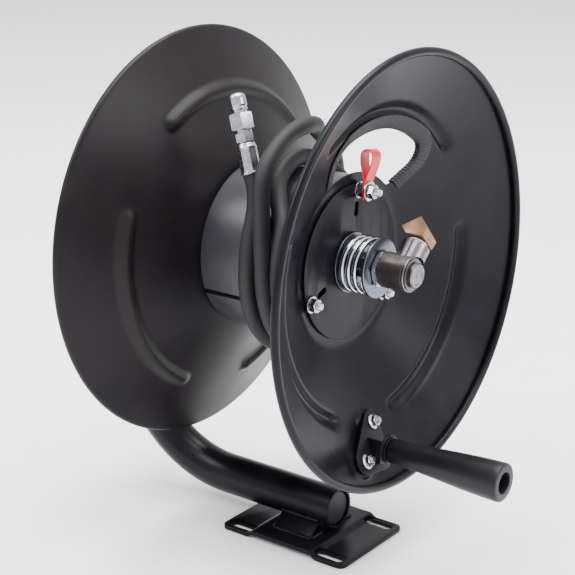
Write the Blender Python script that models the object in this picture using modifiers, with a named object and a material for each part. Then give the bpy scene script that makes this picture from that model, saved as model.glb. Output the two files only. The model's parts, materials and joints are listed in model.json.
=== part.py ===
"""Pressure-hose reel on a bent-tube arm: two dished flanges, a drum and a hand crank.

Frame: X along the axle, towards the crank side; Y away from the user; Z up.
The origin lies on the floor under the middle of the overall length.
All lengths are in metres. Angles about the axle are in degrees from straight up, towards +Y.
"""

import math

import bmesh
import bpy
from mathutils import Matrix, Vector

PART_NAME = "hose_reel"
GAP = 0.0003                    # between two pieces that touch

# Reel
FLOOR_CLEARANCE = 0.090         # under the rims
FLANGE_RADIUS = 0.220           # over the rolled rim
AXLE_HEIGHT = FLANGE_RADIUS + FLOOR_CLEARANCE
FLANGE_SHEET = 0.0015
RIM_SPACING = 0.265             # between the middles of the two rolled rims
RIM_CURL_RADIUS = 0.0028        # inside the curl
DISH_DEPTH = 0.071              # from the flat centre out to the middle of the rim
FLANGE_FLAT_RADIUS = 0.087
DRUM_RADIUS = 0.0867
DRUM_SHEET = 0.0015
DRUM_SEAM_ANGLE = 247.0
DRUM_SEAM_WIDTH = 0.005
REEL_ANGLE = 8.6                # how far the reel is turned from the spot where rod 1 is at the top

# Pressed ribs
RIB_RADIUS = 0.158
RIB_WIDTH = 0.018
RIB_DEPTH = 0.006
RIB_HALF_SPAN = 43.5
RIB_COUNT = 3

# Access opening and its edge strip
OPENING_HALF_SPAN = 35.5
OPENING_INNER_RADIUS = 0.091
OPENING_OUTER_RADIUS = 0.139
OPENING_CORNER = 0.020
OPENING_INNER_CORNER = 0.006
TRIM_FLAP = 0.012               # outer leg, from the edge outwards
TRIM_LEG = 0.007                # inner leg
TRIM_WALL = 0.0016
TRIM_GAP = 0.0006

# Hub discs and the rods that clamp the reel together
HUB_DISC_INSET = 0.0072         # inside the drum
HUB_DISC_RADIUS = DRUM_RADIUS - HUB_DISC_INSET
HUB_DISC_THICKNESS = 0.0025
ROD_INSET = 0.0132              # from the drum in to the middle of the rods
ROD_CIRCLE_RADIUS = DRUM_RADIUS - ROD_INSET
FLANGE_BORE_INSET = 0.0095      # from the middle of the rods in to the bore
FLANGE_BORE_RADIUS = ROD_CIRCLE_RADIUS - FLANGE_BORE_INSET
ROD_RADIUS = 0.004
ROD_COUNT = 3
ROD_STICK_OUT = 0.0130
STRAP_ROD_STICK_OUT = 0.0265
HOLE_CLEARANCE = 0.0004
SLOT_INSET = 0.0195             # from the middle of the rods in to the hub disc's slots
SLOT_RADIUS = ROD_CIRCLE_RADIUS - SLOT_INSET
SLOT_LENGTH = 0.015
SLOT_WIDTH = 0.006
NUT_FLATS = 0.013
NUT_HEIGHT = 0.0065
WASHER_RADIUS = 0.0085
WASHER_HEIGHT = 0.0016
STRAP_WIDTH = 0.015
STRAP_THICKNESS = 0.0014
STRAP_HEIGHT = 0.042
STRAP_SPREAD = 0.0150          # across the top of the loop

# Axle, brake and inlet swivel
AXLE_RADIUS = 0.0127
AXLE_BORE = 0.005
RUNNING_CLEARANCE = 0.0003
BUSH_WALL = 0.004
BUSH_LENGTH = 0.012
BRAKE_DISC_RADIUS = 0.030
BRAKE_DISC_HEIGHT = 0.003
SPRING_RADIUS = 0.0272          # middle of the wire
SPRING_WIRE = 0.0026            # radius
SPRING_LENGTH = 0.0292
SPRING_TURNS = 3.25
SPRING_SEAT_HEIGHT = 0.002
BRAKE_WASHER_RADIUS = 0.0306
BRAKE_WASHER_HEIGHT = 0.003
BRAKE_NUT_FLATS = 0.034
BRAKE_NUT_HEIGHT = 0.006
SWIVEL_RADIUS = 0.018
SWIVEL_LENGTH = 0.0305
SEAL_RADIUS = 0.00065
PORT_ANGLE = 47.0
PORT_COLLAR_RADIUS = 0.0145
PORT_COLLAR_HEIGHT = 0.033      # outer face, from the axle's middle
PORT_BORE = 0.0088
AXLE_END = 0.0065               # past the swivel body
CIRCLIP_HEIGHT = 0.0012
ELBOW_GAP = 0.0045              # between the collar's face and the elbow's block
ELBOW_WIDTH = 0.026
ELBOW_BORE = 0.0078

# Arm and base
ARM_RADIUS = 0.022
ARM_WALL = 0.003
ARM_TOP_RUN = 0.0223            # from the housing to where the arm's bend starts
ARM_OPEN_END = 0.0525           # from the reel's middle to the lower run's open end
HOUSING_COLLAR = 0.006
HOUSING_SPIGOT = 0.020
CROSS_PIN_RADIUS = 0.003
BASE_LENGTH = 0.160
BASE_WIDTH = 0.115
BASE_THICKNESS = 0.005
BASE_RAISE = 0.004              # how far the middle of the plate is pressed up
BASE_RAISED_LENGTH = 0.074
BASE_JOGGLE = 0.009
BASE_OFFSET = 0.0175            # of the plate's middle from the reel's middle
BASE_CORNER = 0.007
BASE_SLOT_LENGTH = 0.032
BASE_SLOT_WIDTH = 0.010
BASE_SLOT_SPACING = (0.114, 0.092)
SADDLE_LENGTH = 0.048
SADDLE_FOOT = 0.072
SADDLE_WALL = 0.003

# Crank
CRANK_ANGLE = REEL_ANGLE - 176.7
CRANK_START = 0.157             # radius of the lower bolt
CRANK_BOLTS = ((-0.0115, 0.003), (0.0175, 0.0405))
CRANK_PAD_RADIUS = 0.0125
CRANK_PAD_HEIGHT = 0.0045
CRANK_PLATE = 0.003
CRANK_BOLT_RADIUS = 0.003
CRANK_BOLT_HEAD = 0.0055
CRANK_NUT_RADIUS = 0.0078
CRANK_NUT_HEIGHT = 0.0062
GRIP_RADIUS = 0.179             # of the grip's axis round the axle
GRIP_ANGLE = REEL_ANGLE - 180.1
LUG_FACE = -0.0003              # from the rim's middle plane
GRIP_LENGTH = 0.1266
GRIP_START = 0.0005             # gap between the collar and the grip
GRIP_NARROW = 0.0125
GRIP_WIDE = 0.0193
GRIP_BORE = 0.0064
GRIP_COUNTERBORE = 0.0103
GRIP_COUNTERBORE_DEPTH = 0.045
SPINDLE_RADIUS = 0.006
SPINDLE_NUT_FLATS = 0.0165
SPINDLE_NUT_HEIGHT = 0.008
COLLAR_RADIUS = 0.0138
COLLAR_HEIGHT = 0.0020

# Hose and the drum's outlet
HOSE_RADIUS = 0.00875
HOSE_GAP = 0.0011               # between the hose and the drum
OUTLET_ANGLE = 102.6
OUTLET_PIPE_RADIUS = 0.0075
OUTLET_PIPE_WALL = 0.0022
OUTLET_BEND = 0.010
FERRULE_RADIUS = 0.0100
FERRULE_LENGTH = 0.030
OUTLET_LEAD = 0.02816124        # round the drum, from the outlet pipe to the first ferrule
FERRULE_MIDDLE = OUTLET_ANGLE + math.degrees(OUTLET_LEAD / (DRUM_RADIUS + FERRULE_RADIUS + 0.0005))
HOSE_POINTS = 78
HOSE_ROUTE = (                  # angle, distance off the drum's lane, distance along the axle
    (150, 0.0000, 0.0450), (180, 0.0, 0.0465), (225, 0.0, 0.0465), (270, 0.0, 0.0465), (285, 0.0, 0.0455),
    (300, 0.0, 0.0415), (314, 0.0, 0.0265), (329, 0.0, 0.0105), (354, 0.0, -0.0025), (370, 0.0, -0.0075),
    (390, 0.0, -0.0055), (420, 0.0, 0.0025), (450, 0.0, 0.0105), (495, 0.0, 0.0195), (540, 0.0, 0.0255),
    (590, 0.0, 0.0275), (632, 0.0, 0.0275), (652, 0.0085, 0.0270), (666, 0.0185, 0.0225),
    (683, 0.0345, 0.0175), (705, 0.0365, 0.0115), (717, 0.0365, 0.0105), (730, 0.0335, 0.0025),
    (740, 0.0280, -0.0075), (765, 0.0195, -0.0155), (780, 0.0135, -0.0195), (810, 0.0045, -0.0175),
    (840, 0.0005, -0.0105), (900, 0.0, -0.0015), (950, 0.0, 0.0045), (992, 0.0, 0.0075),
    (1010, 0.0015, 0.0035), (1023, 0.0085, 0.0025), (1033, 0.0155, 0.0005), (1042.7, 0.0255, -0.0015),
)

# Positions along the axle, from the reel's middle
HUB_X = RIM_SPACING / 2 - DISH_DEPTH
DISC_FACE = HUB_X + GAP + HUB_DISC_THICKNESS
SEAT_X = DISC_FACE + GAP
SPRING_X = SEAT_X + SPRING_SEAT_HEIGHT + GAP
BRAKE_WASHER_X = SPRING_X + SPRING_LENGTH + GAP
BRAKE_NUT_X = BRAKE_WASHER_X + BRAKE_WASHER_HEIGHT + GAP
SWIVEL_X = BRAKE_NUT_X + BRAKE_NUT_HEIGHT + GAP
PORT_X = SWIVEL_X + 0.64 * SWIVEL_LENGTH
CIRCLIP_X = SWIVEL_X + SWIVEL_LENGTH + GAP
AXLE_END_X = SWIVEL_X + SWIVEL_LENGTH + AXLE_END
BUSH_END = DISC_FACE - BUSH_LENGTH
MANIFOLD_END = BUSH_END - 0.0008
MANIFOLD_X = MANIFOLD_END - 0.007
HOUSING_X = -DISC_FACE - GAP - BRAKE_DISC_HEIGHT - GAP
ARM_TOP_X = HOUSING_X - HOUSING_COLLAR - GAP
ARM_REACH = ARM_TOP_RUN - ARM_TOP_X
AXLE_START_X = ARM_TOP_X - HOUSING_SPIGOT
PIN_X = ARM_TOP_X - HOUSING_SPIGOT / 2

# Heights
BASE_TOP = BASE_THICKNESS + BASE_RAISE
ARM_LOW_Z = BASE_TOP + GAP + SADDLE_WALL + GAP + ARM_RADIUS
ARM_BEND_RADIUS = (AXLE_HEIGHT - ARM_LOW_Z) / 2

# Crank lug and grip along the axle
LUG_X = HUB_X + DISH_DEPTH + LUG_FACE
GRIP_X = LUG_X + GAP + COLLAR_HEIGHT + GRIP_START
GRIP_END_X = GRIP_X + GRIP_LENGTH

# The reel's middle stands where the whole length is centred on the origin
ARM_BACK_X = -(ARM_REACH + ARM_BEND_RADIUS + ARM_RADIUS)
REEL_X = -(ARM_BACK_X + GRIP_END_X) / 2

# Slope of a flange's cone, which runs into its rolled rim
RIM_RADIUS = FLANGE_RADIUS - RIM_CURL_RADIUS - FLANGE_SHEET
CONE_ANGLE = (math.atan2(DISH_DEPTH, RIM_RADIUS - FLANGE_FLAT_RADIUS)
              - math.asin(RIM_CURL_RADIUS / math.hypot(DISH_DEPTH, RIM_RADIUS - FLANGE_FLAT_RADIUS)))

# Facets round a full turn
ARM_SIDES = 16
LARGE_STEPS = 42
DISC_STEPS = 30
SMALL_STEPS = 20
TINY_STEPS = 10


# --- tools ---------------------------------------------------------------------------------


def finish(name, colour, roughness, metallic=0.0):
    """Return a plain material with a colour, a roughness and a metallic value."""
    look = bpy.data.materials.new(name)
    look.use_nodes = True
    shader = look.node_tree.nodes["Principled BSDF"]
    shader.inputs["Base Color"].default_value = (*colour, 1.0)
    shader.inputs["Roughness"].default_value = roughness
    shader.inputs["Metallic"].default_value = metallic
    return look


def axial(x, angle=0.0, side=1):
    """Stand local Z along the axle (away from the crank for side -1), with local X out at an angle."""
    turn = math.radians(angle)
    out = Vector((0.0, math.sin(turn), math.cos(turn)))
    axis = Vector((side, 0.0, 0.0))
    basis = Matrix((out, axis.cross(out), axis)).transposed().to_4x4()
    return Matrix.Translation((REEL_X + x, 0.0, AXLE_HEIGHT)) @ basis


def radial(x, angle, distance=0.0):
    """Stand local Z straight out from the axle at an angle, with local X along the axle."""
    turn = math.radians(angle)
    out = Vector((0.0, math.sin(turn), math.cos(turn)))
    along = Vector((1.0, 0.0, 0.0))
    basis = Matrix((along, out.cross(along), out)).transposed().to_4x4()
    return Matrix.Translation(Vector((REEL_X + x, 0.0, AXLE_HEIGHT)) + out * distance) @ basis


def polar(radius, angle):
    """Return where a point round the axle lies in the local frame of axial(x)."""
    turn = math.radians(angle)
    return radius * math.cos(turn), -radius * math.sin(turn)


def around(x, radius, angle):
    """Return the world position of a point round the axle."""
    turn = math.radians(angle)
    return REEL_X + x, radius * math.sin(turn), AXLE_HEIGHT + radius * math.cos(turn)


def turned(name, profile, matrix, look, steps=SMALL_STEPS):
    """Turn a profile of (radius, height) points about local Z; it is closed if it is clear of the axis."""
    points = list(profile)
    solid = points[0][0] == 0.0
    if solid:
        if points[0][1] < points[-1][1]:
            points.reverse()
    else:
        following = points[1:] + points[:1]
        if sum(a[0] * b[1] - b[0] * a[1] for a, b in zip(points, following)) > 0:
            points.reverse()
    edges = [(i, i + 1) for i in range(len(points) - 1)]
    if not solid:
        edges.append((len(points) - 1, 0))
    mesh = bpy.data.meshes.new(name)
    mesh.from_pydata([(r, 0.0, z) for r, z in points], edges, [])
    mesh.materials.append(look)
    obj = bpy.data.objects.new(name, mesh)
    screw(obj, steps)
    obj.matrix_world = matrix
    return obj


def screw(obj, steps):
    """Add the modifier that turns a profile about local Z."""
    turn = obj.modifiers.new("Turn", "SCREW")
    turn.steps = steps
    turn.render_steps = steps
    turn.use_merge_vertices = True
    turn.merge_threshold = 0.00001
    turn.use_smooth_shade = True


def arc(x, y, radius, start, end, steps):
    """Return the points of an arc between two angles in degrees."""
    turns = [math.radians(start + (end - start) * i / steps) for i in range(steps + 1)]
    return [(x + radius * math.cos(t), y + radius * math.sin(t)) for t in turns]


def circle(x, y, radius, steps=SMALL_STEPS):
    """Return the points of a circle."""
    return arc(x, y, radius, 0, 360, steps)[:-1]


def stadium(x, y, length, width, angle=0.0, steps=3):
    """Return the points of a slot with round ends, its length turned by an angle."""
    half = (length - width) / 2
    points = arc(half, 0, width / 2, -90, 90, steps) + arc(-half, 0, width / 2, 90, 270, steps)
    c, s = math.cos(math.radians(angle)), math.sin(math.radians(angle))
    return [(x + px * c - py * s, y + px * s + py * c) for px, py in points]


def hexagon(flats):
    """Return the corners of a hexagon with the given width across its flats."""
    return arc(0, 0, flats / math.sqrt(3), 0, 300, 5)


def rounded(corners, steps=4):
    """Return an outline that runs round circles: corners are (x, y, radius), counter-clockwise."""
    def leave(a, b):
        heading = math.atan2(b[1] - a[1], b[0] - a[0])
        spread = math.asin((b[2] - a[2]) / math.hypot(b[0] - a[0], b[1] - a[1]))
        return math.degrees(heading - spread) - 90
    points = []
    for i, corner in enumerate(corners):
        start = leave(corners[i - 1], corner)
        end = leave(corner, corners[(i + 1) % len(corners)])
        points += arc(corner[0], corner[1], corner[2], start, start + (end - start) % 360, steps)
    return points


def prism(name, outlines, height, matrix, look):
    """Extrude flat outlines by a height from local Z 0; outlines after the first are holes."""
    curve = bpy.data.curves.new(name, "CURVE")
    curve.dimensions = "2D"
    curve.fill_mode = "BOTH"
    curve.extrude = height / 2
    for outline in outlines:
        spline = curve.splines.new("POLY")
        spline.points.add(len(outline) - 1)
        for point, (x, y) in zip(spline.points, outline):
            point.co = (x, y, 0.0, 1.0)
        spline.use_cyclic_u = True
    curve.materials.append(look)
    obj = bpy.data.objects.new(name, curve)
    obj.matrix_world = matrix @ Matrix.Translation((0.0, 0.0, height / 2))
    return obj


def tube(name, points, radius, look, resolution=2, caps=True):
    """Run a round tube along world positions."""
    curve = bpy.data.curves.new(name, "CURVE")
    curve.dimensions = "3D"
    curve.bevel_depth = radius
    curve.bevel_resolution = resolution
    curve.use_fill_caps = caps
    spline = curve.splines.new("POLY")
    spline.points.add(len(points) - 1)
    for point, place in zip(spline.points, points):
        point.co = (*place, 1.0)
    curve.materials.append(look)
    return bpy.data.objects.new(name, curve)


def as_mesh(obj, collection):
    """Replace a curve, or a mesh with modifiers, by a plain welded mesh in a collection."""
    bpy.context.scene.collection.objects.link(obj)
    bpy.context.view_layer.update()
    evaluated = obj.evaluated_get(bpy.context.evaluated_depsgraph_get())
    mesh = bpy.data.meshes.new_from_object(evaluated)
    name, matrix, look = obj.name, obj.matrix_world.copy(), obj.data.materials[0]
    bpy.data.objects.remove(obj)
    shape = bmesh.new()
    shape.from_mesh(mesh)
    bmesh.ops.remove_doubles(shape, verts=shape.verts, dist=0.000005)
    if all(edge.is_manifold for edge in shape.edges):
        bmesh.ops.recalc_face_normals(shape, faces=shape.faces)
    shape.to_mesh(mesh)
    shape.free()
    mesh.materials.clear()
    mesh.materials.append(look)
    mesh.name = name
    mesh.shade_smooth()
    mesh.set_sharp_from_angle(angle=math.radians(32))
    result = bpy.data.objects.new(name, mesh)
    result.matrix_world = matrix
    collection.objects.link(result)
    return result


def keep(obj, body=None):
    """Put a piece in the object's collection, riding on a body's empty."""
    if obj.type == "CURVE" and obj.data.dimensions == "2D":
        obj = as_mesh(obj, PARTS)
    elif not obj.users_collection:
        PARTS.objects.link(obj)
    if body:
        matrix = obj.matrix_world.copy()
        obj.parent = body
        obj.matrix_world = matrix
        obj.matrix_parent_inverse = body.matrix_world.inverted()
        obj.matrix_basis = matrix
    return obj


def combine(obj, other, operation="DIFFERENCE"):
    """Cut, join or trim an object with a hidden second shape."""
    shape = as_mesh(other, CUTTERS)
    shape.hide_render = True
    shape.display_type = "WIRE"
    boolean = obj.modifiers.new(operation.title(), "BOOLEAN")
    boolean.operation = operation
    boolean.solver = "EXACT"
    boolean.object = shape


def drill(obj, radius, length, matrix, steps=TINY_STEPS):
    """Cut a round hole along local Z, centred on the matrix."""
    profile = [(0.0, length / 2), (radius, length / 2), (radius, -length / 2), (0.0, -length / 2)]
    combine(obj, turned(obj.name + ".hole", profile, matrix, BLACK, steps))


def pivot(name, place):
    """Return an empty on a joint's axis."""
    empty = bpy.data.objects.new(name, None)
    empty.empty_display_size = 0.03
    empty.location = place
    PARTS.objects.link(empty)
    bpy.context.view_layer.update()
    return empty


# --- base and arm --------------------------------------------------------------------------


def base_plate():
    """Make the joggled floor plate with its four slots."""
    half, raised = BASE_LENGTH / 2, BASE_RAISED_LENGTH / 2
    steps = [(-half, 0), (-raised - BASE_JOGGLE, 0), (-raised, BASE_RAISE),
             (raised, BASE_RAISE), (raised + BASE_JOGGLE, 0), (half, 0)]
    section = steps + [(x, z + BASE_THICKNESS) for x, z in reversed(steps)]
    middle = Matrix.Translation((REEL_X + BASE_OFFSET, 0.0, 0.0))
    across = middle @ Matrix.Translation((0.0, BASE_WIDTH / 2, 0.0)) @ Matrix.Rotation(math.pi / 2, 4, "X")
    plate = as_mesh(prism("base_plate", [section], BASE_WIDTH, across, BLACK), PARTS)
    reach = BASE_LENGTH / 2 - BASE_CORNER, BASE_WIDTH / 2 - BASE_CORNER
    outline = rounded([(-reach[0], -reach[1], BASE_CORNER), (reach[0], -reach[1], BASE_CORNER),
                       (reach[0], reach[1], BASE_CORNER), (-reach[0], reach[1], BASE_CORNER)])
    below = middle @ Matrix.Translation((0.0, 0.0, -0.005))
    combine(plate, prism("base_plate.outline", [outline], BASE_TOP + 0.01, below, BLACK), "INTERSECT")
    for x in (-BASE_SLOT_SPACING[0] / 2, BASE_SLOT_SPACING[0] / 2):
        for y in (-BASE_SLOT_SPACING[1] / 2, BASE_SLOT_SPACING[1] / 2):
            slot = stadium(x, y, BASE_SLOT_LENGTH, BASE_SLOT_WIDTH)
            combine(plate, prism("base_plate.slot", [slot], BASE_TOP + 0.01, below, BLACK))
    return plate


def arm_saddle():
    """Make the formed cradle between the arm and the floor plate."""
    low, foot = BASE_TOP + GAP, SADDLE_FOOT / 2
    inner, outer = ARM_RADIUS + GAP, ARM_RADIUS + GAP + SADDLE_WALL
    cradle = arc(0, ARM_LOW_Z, inner, -30, -150, 10)
    lip = math.radians(30)
    tip = (outer + 0.0012) * math.cos(lip), ARM_LOW_Z - (outer + 0.0012) * math.sin(lip) + 0.001
    outline = [(-foot, low), (foot, low), (foot, low + SADDLE_WALL), tip]
    outline += cradle + [(-tip[0], tip[1]), (-foot, low + SADDLE_WALL)]
    window = [(0.0152, 0.01305), (foot - 0.0048, 0.01305), (0.0224, 0.02095)]
    window = [(x, ARM_LOW_Z - 0.034 + z - 0.0006) for x, z in window]
    window[0] = (window[0][0], low + SADDLE_WALL)
    window[1] = (window[1][0], low + SADDLE_WALL)
    mirrored = [(-x, z) for x, z in window]
    along = Matrix.Rotation(math.pi / 2, 4, "Z") @ Matrix.Rotation(math.pi / 2, 4, "X")
    start = shift(REEL_X + BASE_OFFSET - SADDLE_LENGTH / 2)
    return prism("arm_saddle", [outline, window, mirrored], SADDLE_LENGTH, start @ along, BLACK)


def arm_tube():
    """Make the bent tube that carries the reel from one side."""
    path = [(ARM_OPEN_END, ARM_LOW_Z)]
    path += arc(-ARM_REACH, ARM_LOW_Z + ARM_BEND_RADIUS, ARM_BEND_RADIUS, 270, 90, 16)
    path += [(ARM_TOP_X, AXLE_HEIGHT)]
    places = [(REEL_X + x, 0.0, z) for x, z in path]
    arm = as_mesh(tube("arm_tube", places, ARM_RADIUS, BLACK, ARM_SIDES // 2 - 2, caps=False), PARTS)
    wall = arm.modifiers.new("Wall", "SOLIDIFY")
    wall.thickness = ARM_WALL
    wall.offset = -1.0
    wall.use_even_offset = True
    drill(arm, CROSS_PIN_RADIUS + GAP, ARM_RADIUS * 3, radial(PIN_X, 0.0))
    return arm


def stand_pieces():
    """Make everything that stays still."""
    bore = AXLE_RADIUS + GAP
    plug = (ARM_RADIUS - ARM_WALL) * math.cos(math.pi / ARM_SIDES) - GAP
    keep(base_plate())
    keep(arm_saddle())
    keep(arm_tube())
    low = Matrix.Translation((REEL_X + ARM_OPEN_END, 0.0, ARM_LOW_Z)) @ Matrix.Rotation(math.pi / 2, 4, "Y")
    keep(turned("arm_end_plug", [(0.0, -0.002), (plug - 0.001, -0.002), (plug, -0.003), (plug, -0.012),
                                 (0.0, -0.012)], low, PLASTIC))
    shoulder = [(ARM_RADIUS, 0.0), (ARM_RADIUS, -HOUSING_COLLAR), (plug, -HOUSING_COLLAR),
                (plug, -HOUSING_COLLAR - HOUSING_SPIGOT),
               (bore, -HOUSING_COLLAR - HOUSING_SPIGOT), (bore, 0.0)]
    housing = keep(turned("axle_housing", shoulder, axial(HOUSING_X), BLACK))
    drill(housing, CROSS_PIN_RADIUS + GAP, ARM_RADIUS * 3, radial(PIN_X, 0.0))
    keep(axle_shaft())
    pin = ARM_RADIUS + 0.0015
    keep(turned("axle_cross_pin",
                [(0.0, pin), (CROSS_PIN_RADIUS, pin), (CROSS_PIN_RADIUS, -pin), (0.0, -pin)],
                radial(PIN_X, 0.0), ZINC, TINY_STEPS))
    keep(ring("brake_disc", bore, BRAKE_DISC_RADIUS, HOUSING_X + GAP, BRAKE_DISC_HEIGHT, LINING, DISC_STEPS))
    keep(ring("spring_seat_washer", bore, SPRING_RADIUS + SPRING_WIRE + 0.001, SEAT_X, SPRING_SEAT_HEIGHT,
              ZINC, DISC_STEPS))
    keep(brake_spring())
    keep(ring("brake_washer", bore, BRAKE_WASHER_RADIUS, BRAKE_WASHER_X, BRAKE_WASHER_HEIGHT, ZINC,
              DISC_STEPS))
    keep(prism("brake_nut", [hexagon(BRAKE_NUT_FLATS), circle(0, 0, bore)], BRAKE_NUT_HEIGHT,
               axial(BRAKE_NUT_X), STEEL))
    keep(ring("swivel_circlip", AXLE_RADIUS - 0.0007, AXLE_RADIUS + 0.0035, CIRCLIP_X, CIRCLIP_HEIGHT, STEEL))


def ring(name, inner, outer, x, height, look, steps=SMALL_STEPS):
    """Make a plain ring round the axle, from a distance along it."""
    profile = [(outer, height), (outer, 0.0), (inner, 0.0), (inner, height)]
    return turned(name, profile, axial(x), look, steps)


def axle_shaft():
    """Make the fixed axle, with a water way between the swivel and the drum's manifold."""
    length = AXLE_END_X - AXLE_START_X
    groove = CIRCLIP_X - AXLE_START_X
    profile = [(0.0, length), (AXLE_RADIUS - 0.001, length), (AXLE_RADIUS, length - 0.001),
               (AXLE_RADIUS, groove + CIRCLIP_HEIGHT + GAP),
               (AXLE_RADIUS - 0.001, groove + CIRCLIP_HEIGHT + GAP),
               (AXLE_RADIUS - 0.001, groove - GAP), (AXLE_RADIUS, groove - GAP), (AXLE_RADIUS, 0.0),
               (0.0, 0.0)]
    shaft = as_mesh(turned("axle_shaft", profile, axial(AXLE_START_X), STEEL), PARTS)
    drill(shaft, CROSS_PIN_RADIUS + GAP, ARM_RADIUS * 3, radial(PIN_X, 0.0))
    for x in (PORT_X, MANIFOLD_X):
        drill(shaft, AXLE_BORE * 0.7, AXLE_RADIUS * 3, radial(x, 90.0))
    inside = (PORT_X + MANIFOLD_X) / 2
    drill(shaft, AXLE_BORE, PORT_X - MANIFOLD_X + 0.014, axial(inside))
    return shaft


def brake_spring():
    """Make the compression spring that presses the brake discs together."""
    rise = SPRING_LENGTH - 2 * SPRING_WIRE - 0.0002
    count = round(14 * SPRING_TURNS)
    points = []
    for i in range(count + 1):
        x = SPRING_X + SPRING_WIRE + 0.0001 + rise * i / count
        points.append(around(x, SPRING_RADIUS, REEL_ANGLE + 360 * SPRING_TURNS * i / count))
    return tube("brake_spring", points, SPRING_WIRE, SPRING, resolution=1)


# --- inlet swivel --------------------------------------------------------------------------


def swivel_pieces(body):
    """Make the water inlet, which turns freely round the end of the axle."""
    bore = AXLE_RADIUS + RUNNING_CLEARANCE
    port = PORT_X - SWIVEL_X
    deep = AXLE_RADIUS + 0.0026
    seals = (port - 0.008, port + 0.0067)
    inside = [(bore, 0.0)]
    for start, width, floor in ((seals[0], 0.0020, bore + 0.0016), (port - 0.004, 0.008, deep),
                                (seals[1], 0.0020, bore + 0.0016)):
        inside += [(bore, start), (floor, start), (floor, start + width), (bore, start + width)]
    profile = inside + [(bore, SWIVEL_LENGTH), (SWIVEL_RADIUS - 0.0008, SWIVEL_LENGTH),
                        (SWIVEL_RADIUS, SWIVEL_LENGTH - 0.0008), (SWIVEL_RADIUS, 0.0)]
    shell = as_mesh(turned("swivel_body", profile, axial(SWIVEL_X), PHOSPHATE, SMALL_STEPS), PARTS)
    drill(shell, PORT_BORE, SWIVEL_RADIUS, radial(PORT_X, PORT_ANGLE, SWIVEL_RADIUS), SMALL_STEPS)
    keep(shell, body)
    for number, start in enumerate(seals, 1):
        section = circle(bore + 0.00075, 0.001, SEAL_RADIUS, 6)
        keep(turned(f"swivel_seal_{number}", section, axial(SWIVEL_X + start), RUBBER), body)
    start = SWIVEL_RADIUS * 0.5
    stub = [(PORT_COLLAR_RADIUS, start), (PORT_COLLAR_RADIUS, PORT_COLLAR_HEIGHT - 0.0008),
            (PORT_COLLAR_RADIUS - 0.0008, PORT_COLLAR_HEIGHT), (PORT_BORE, PORT_COLLAR_HEIGHT),
            (PORT_BORE, start)]
    collar = as_mesh(turned("port_collar", stub, radial(PORT_X, PORT_ANGLE), STEEL, SMALL_STEPS), PARTS)
    drill(collar, SWIVEL_RADIUS + GAP, SWIVEL_LENGTH * 3, axial(PORT_X), DISC_STEPS)
    keep(collar, body)
    keep(inlet_elbow(), body)


def inlet_elbow():
    """Make the brass block that turns the inlet through 45 degrees, with its threaded neck."""
    base = PORT_COLLAR_HEIGHT + ELBOW_GAP
    neck = PORT_BORE - GAP
    outline = [(-0.0105, 0.0), (0.0100, 0.0), (0.0110, 0.0098), (-0.0020, 0.0218), (-0.0185, 0.0072)]
    upright = radial(PORT_X, PORT_ANGLE, base) @ Matrix.Rotation(math.pi / 2, 4, "X")
    upright = upright @ Matrix.Translation((0.0, 0.0, -ELBOW_WIDTH / 2))
    elbow = as_mesh(prism("inlet_elbow", [outline], ELBOW_WIDTH, upright, BRASS), PARTS)
    top = base + 0.003
    combine(elbow, turned("inlet_elbow.neck", [(0.0, top), (neck, top), (neck, SWIVEL_RADIUS + 0.005),
                                               (0.0, SWIVEL_RADIUS + 0.005)],
                          radial(PORT_X, PORT_ANGLE), BRASS, SMALL_STEPS), "UNION")
    drill(elbow, AXLE_BORE, base - SWIVEL_RADIUS + 0.004,
          radial(PORT_X, PORT_ANGLE, (base + SWIVEL_RADIUS) / 2 + 0.005), TINY_STEPS)
    slope = Matrix.Rotation(math.radians(-41.5), 4, "Y")
    face = radial(PORT_X, PORT_ANGLE, base) @ Matrix.Translation((-0.01025, 0.0, 0.0145)) @ slope
    drill(elbow, ELBOW_BORE, 0.018, face, SMALL_STEPS)
    return elbow


# --- reel ----------------------------------------------------------------------------------


def cone_height(radius):
    """Return how far a flange's outer surface stands out from its flat centre."""
    return max(0.0, radius - FLANGE_FLAT_RADIUS) * math.tan(CONE_ANGLE)


def rib_depth(radius, angle):
    """Return how far the nearest pressed rib pushes a point towards the drum."""
    across = 2 * abs(radius - RIB_RADIUS) / RIB_WIDTH
    pitch = 360.0 / RIB_COUNT
    along = abs((angle - REEL_ANGLE + pitch / 2) % pitch - pitch / 2)
    if across > 0.99 or along > RIB_HALF_SPAN:
        return 0.0
    return RIB_DEPTH * min(1.0, 1.6 * (1 - across))


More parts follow.
